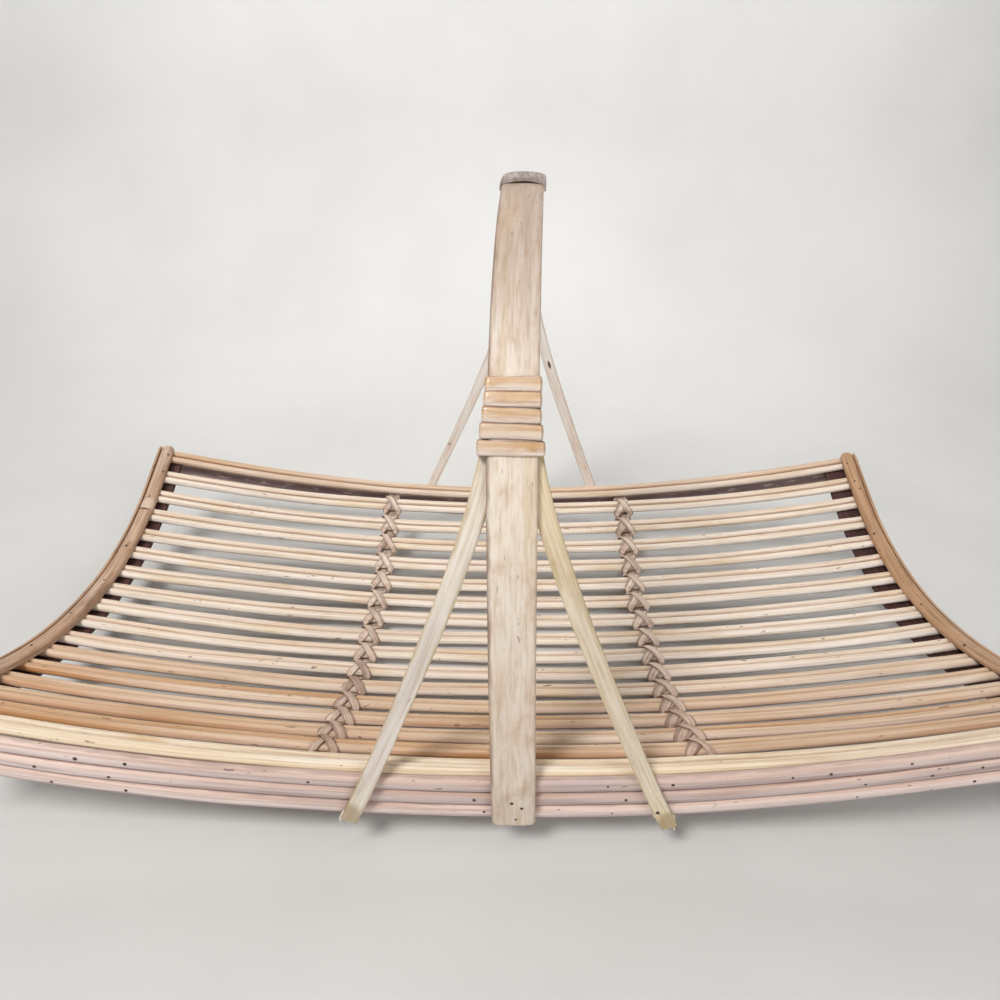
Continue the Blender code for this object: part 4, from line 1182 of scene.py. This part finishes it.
def dress_binding(label, end):
    """Glossy peel wound five times round the handle and the strut tops behind it."""
    low = -(HANDLE_THICKNESS / 2.0 + STRUT_THICKNESS + 3.0 * CLEARANCE)
    half_strut = (FRONT_STRUT if end < 0 else REAR_STRUT)[0] / 2.0
    draw = random.Random(170 + end)
    rows = []
    for turn in range(BINDING_TURNS):
        middle = BINDING_FROM_CROWN + (turn + 0.5) * BINDING_TURN_WIDTH
        below = middle + BINDING_TURN_WIDTH / 2.0
        left = min(-HALF_HANDLE, brace_x(end, -1, below) - half_strut) - CLEARANCE
        right = max(HALF_HANDLE, brace_x(end, 1, below) + half_strut) + CLEARANCE
        slant = draw.uniform(*WINDING_SLANT)
        middle += draw.uniform(-WINDING_STRAY, WINDING_STRAY)
        row, run, before = [], 0.3 * turn, None
        for x, out, facing in rounded_loop(left, right, low, HANDLE_FACE, WINDING_CORNER):
            run += math.hypot(x - before[0], out - before[1]) if before else 0.0
            before = (x, out)
            distance = end * (middle + slant * x / HANDLE_WIDTH)
            outward = Vector((facing[0], 0.0, facing[1]))
            swell = wander(190 + turn, run, 0.010, 0.10)
            row.append(station(on_hoop, (x, distance, out), ACROSS, outward, run, 0.99 + swell,
                               1.0 - 2.0 * abs(swell)))
        rows.append(row)
    strips(f"winding_{label}", rows, "binding_peel", f"binding_{label}", closed=True,
           width=BINDING_TURN_WIDTH + 0.0001, rise=WINDING_RISE, drop=FLAT_DROP, top_curve=0.75,
           back_curve=0.3, unevenness=0.03, lump_length=0.008, seed=181 + end)


# Nails: (place along the rim, rod, height on the rod), (side, place across, share of the bar's width)
# and (x, height above the ground, end) on the handle's feet
SKIRT_NAILS = [(-0.2357, 2, 0.0), (-0.2142, 1, 0.0), (-0.2302, 3, -0.001), (-0.1907, 1, 0.0004),
               (-0.1943, 3, 0.0), (-0.2008, 2, -0.001), (-0.1020, 1, -0.001), (-0.0426, 1, 0.002),
               (-0.0171, 1, 0.0028), (-0.0191, 2, 0.0006), (-0.0140, 3, 0.001), (0.0481, 1, 0.0008),
               (0.0580, 2, 0.0003), (0.0517, 3, 0.0), (0.0805, 1, 0.0008), (0.1578, 1, 0.0),
               (0.1716, 1, 0.0018), (0.1767, 2, -0.001), (0.1959, 1, 0.0008), (0.2131, 1, 0.0016),
               (0.2083, 2, -0.0004), (0.2314, 2, 0.001), (0.2303, 3, 0.0005), (0.1746, 3, -0.001),
               (0.1394, 1, 0.0)]
BAR_NAILS = [(-1, 0.1600, -0.44), (-1, 0.1420, -0.53), (-1, 0.1025, -0.6), (-1, 0.0600, 0.03),
             (-1, 0.0195, -0.07), (-1, -0.0235, 0.31), (-1, -0.0700, 0.1), (-1, -0.1150, -0.2),
             (-1, -0.1500, 0.1), (1, 0.1580, -0.44), (1, 0.1390, -0.25), (1, 0.1305, 0.12),
             (1, 0.0830, -0.5), (1, 0.0000, -0.5), (1, -0.0540, -0.6), (1, -0.1050, 0.0),
             (1, -0.1480, -0.2)]
FOOT_NAILS = [(-0.0019, 0.0395, -1), (0.0032, 0.0359, -1), (0.0003, 0.0277, -1),
              (0.0022, 0.0389, 1), (-0.0030, 0.0354, 1), (0.0005, 0.0279, 1)]


NAIL_RADIUS = 0.0009
NAIL_HEIGHT = 0.0003
SUNK_NAIL_HEIGHT = 0.0001
NAIL_DEPTH = 0.0001


def drive_nails(name, points, height, seed):
    """One piece of nail heads; points are (place, way the nail faces)."""
    path = bpy.data.meshes.new("nails")
    path.from_pydata([place for place, _ in points], [], [])
    carry(path, "outward", [facing for _, facing in points])
    values = {"Head Radius": NAIL_RADIUS, "Head Height": height, "Seed": seed}
    keep(name, grow(NAIL_TREE, path, dict(values, Finish=FINISHES["nail_iron"])))


def dress_nails():
    points = []
    for side, nails in ((-1, SKIRT_NAILS), (1, [(-x, rod, 0.0) for x, rod, _ in SKIRT_NAILS[::2]])):
        for along, rod, offset in nails:
            drift = skirt_drift(along, rod - 1) if side < 0 else 0.0
            out = SKIRT_ROD_THICKNESS * math.sqrt(1.0 - (offset / HALF_ROD) ** 2)
            place = on_rim(side)((along, out - NAIL_DEPTH, rod_middle(rod - 1) + drift + offset))
            points.append((place, Vector((0.0, side, 0.2 * math.copysign(1.0, offset))).normalized()))
    drive_nails("edge_rod_nails", points, NAIL_HEIGHT, 5)

    points = []
    top = HALF_LENGTH - TOP_BAR_WIDTH / 2.0
    for side, across, share in BAR_NAILS:
        height = SLAT_TOP + TOP_BAR_THICKNESS * math.sqrt(1.0 - share ** 2)
        bench = Vector((side * (top + share * TOP_BAR_WIDTH / 2.0), across, height))
        facing = Vector((side * 0.8 * share, 0.0, 1.0)).normalized()
        place = on_tray(bench)
        points.append((place, (on_tray(bench + PROBE * facing) - place).normalized()))
    drive_nails("bark_bar_nails", points, NAIL_HEIGHT, 6)

    points = []
    face = skirt_face_y() + CLEARANCE + HANDLE_THICKNESS * 0.965
    for x, height, end in FOOT_NAILS:
        points.append((Vector((x + HANDLE_OFFSET, end * face, height)), Vector((0.0, end, 0.0))))
    drive_nails("foot_nails", points, SUNK_NAIL_HEIGHT, 7)


# Camera, light and floor

def set_camera():
    lens = bpy.data.cameras.new("camera")
    lens.lens = CAMERA_LENS
    lens.sensor_width = 36.0
    camera = put_in_scene("camera", lens)
    turn = Matrix.Rotation(CAMERA_PAN, 4, "Z") @ Matrix.Rotation(CAMERA_TILT, 4, "X")
    turn = turn @ Matrix.Rotation(CAMERA_ROLL, 4, "Z")
    camera.matrix_world = Matrix.Translation(CAMERA_PLACE) @ turn
    bpy.context.scene.camera = camera


def add_light(name, place, target, size, power, colour=(1.0, 1.0, 1.0), spread=180.0):
    lamp = bpy.data.lights.new(name, "AREA")
    lamp.shape = "DISK"
    lamp.size = size
    lamp.energy = power
    lamp.color = colour
    lamp.spread = math.radians(spread)
    holder = put_in_scene(name, lamp)
    holder.location = place
    holder.rotation_euler = (Vector(target) - Vector(place)).to_track_quat("-Z", "Y").to_euler()


FLOOR_REACH = 4.0
WALL_Y = 0.75
WALL_BEND = 0.35
WALL_HEIGHT = 3.0


def set_studio():
    """Soft light from the front and on the wall, and a pale floor that sweeps up to the wall."""
    add_light("key_light", (-0.60, -0.90, 1.45), (0.0, 0.0, 0.05), 0.5, 18.5, (1.0, 0.99, 0.98))
    add_light("wall_light", (0.0, -0.35, 2.1), (0.0, 0.75, 1.0), 0.8, 6.0, spread=80.0)
    add_light("fill_light", (0.9, -1.2, 0.9), (0.0, 0.0, 0.05), 0.9, 7.0, (0.98, 0.99, 1.0))
    world = bpy.data.worlds.new("sky")
    world.use_nodes = True
    sky = world.node_tree.nodes["Background"].inputs
    sky["Color"].default_value = (0.90, 0.92, 0.95, 1.0)
    sky["Strength"].default_value = 0.10
    bpy.context.scene.world = world

    start = WALL_Y - WALL_BEND
    profile = [(-FLOOR_REACH, 0.0), (0.0, 0.0), (start, 0.0)]
    for step in range(1, 13):
        angle = math.radians(90.0 * step / 12.0)
        profile.append((start + WALL_BEND * math.sin(angle), WALL_BEND - WALL_BEND * math.cos(angle)))
    profile.append((WALL_Y, WALL_HEIGHT))
    mesh = bpy.data.meshes.new("floor")
    mesh.from_pydata([(x, y, z) for y, z in profile for x in (-FLOOR_REACH, FLOOR_REACH)], [],
                     [(2 * k, 2 * k + 1, 2 * k + 3, 2 * k + 2) for k in range(len(profile) - 1)])
    mesh.shade_smooth()
    finish = Finish("pale_floor", (230, 229, 226), own_bench=False)
    finish.tint(finish.between(finish.grain(3.0, 3.0, detail=4.0), 0.3, 0.7), (221, 220, 217))
    finish.tree.links.new(finish.colour, finish.shader.inputs["Base Color"])
    finish.shader.inputs["Roughness"].default_value = 0.8
    mesh.materials.append(finish.material)
    floor = put_in_scene("studio_floor", mesh)
    bpy.context.scene.view_settings.view_transform = "Standard"


def dress_trug():
    dress_canes()
    for label, side in (("left", -1), ("right", 1)):
        dress_end_bars(label, side)
        dress_lashing(label, side)
        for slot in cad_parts[f"rib_{label}"].material_slots:
            slot.material = FINISHES["rib_wood"]
    for label, end in (("front", -1), ("rear", 1)):
        dress_skirt(label, end)
        dress_binding(label, end)
        dress_strut(label, end, "left", -1)
        dress_strut(label, end, "right", 1)
    dress_handle()
    dress_cover()
    dress_nails()


set_camera()
dress_trug()
set_studio()
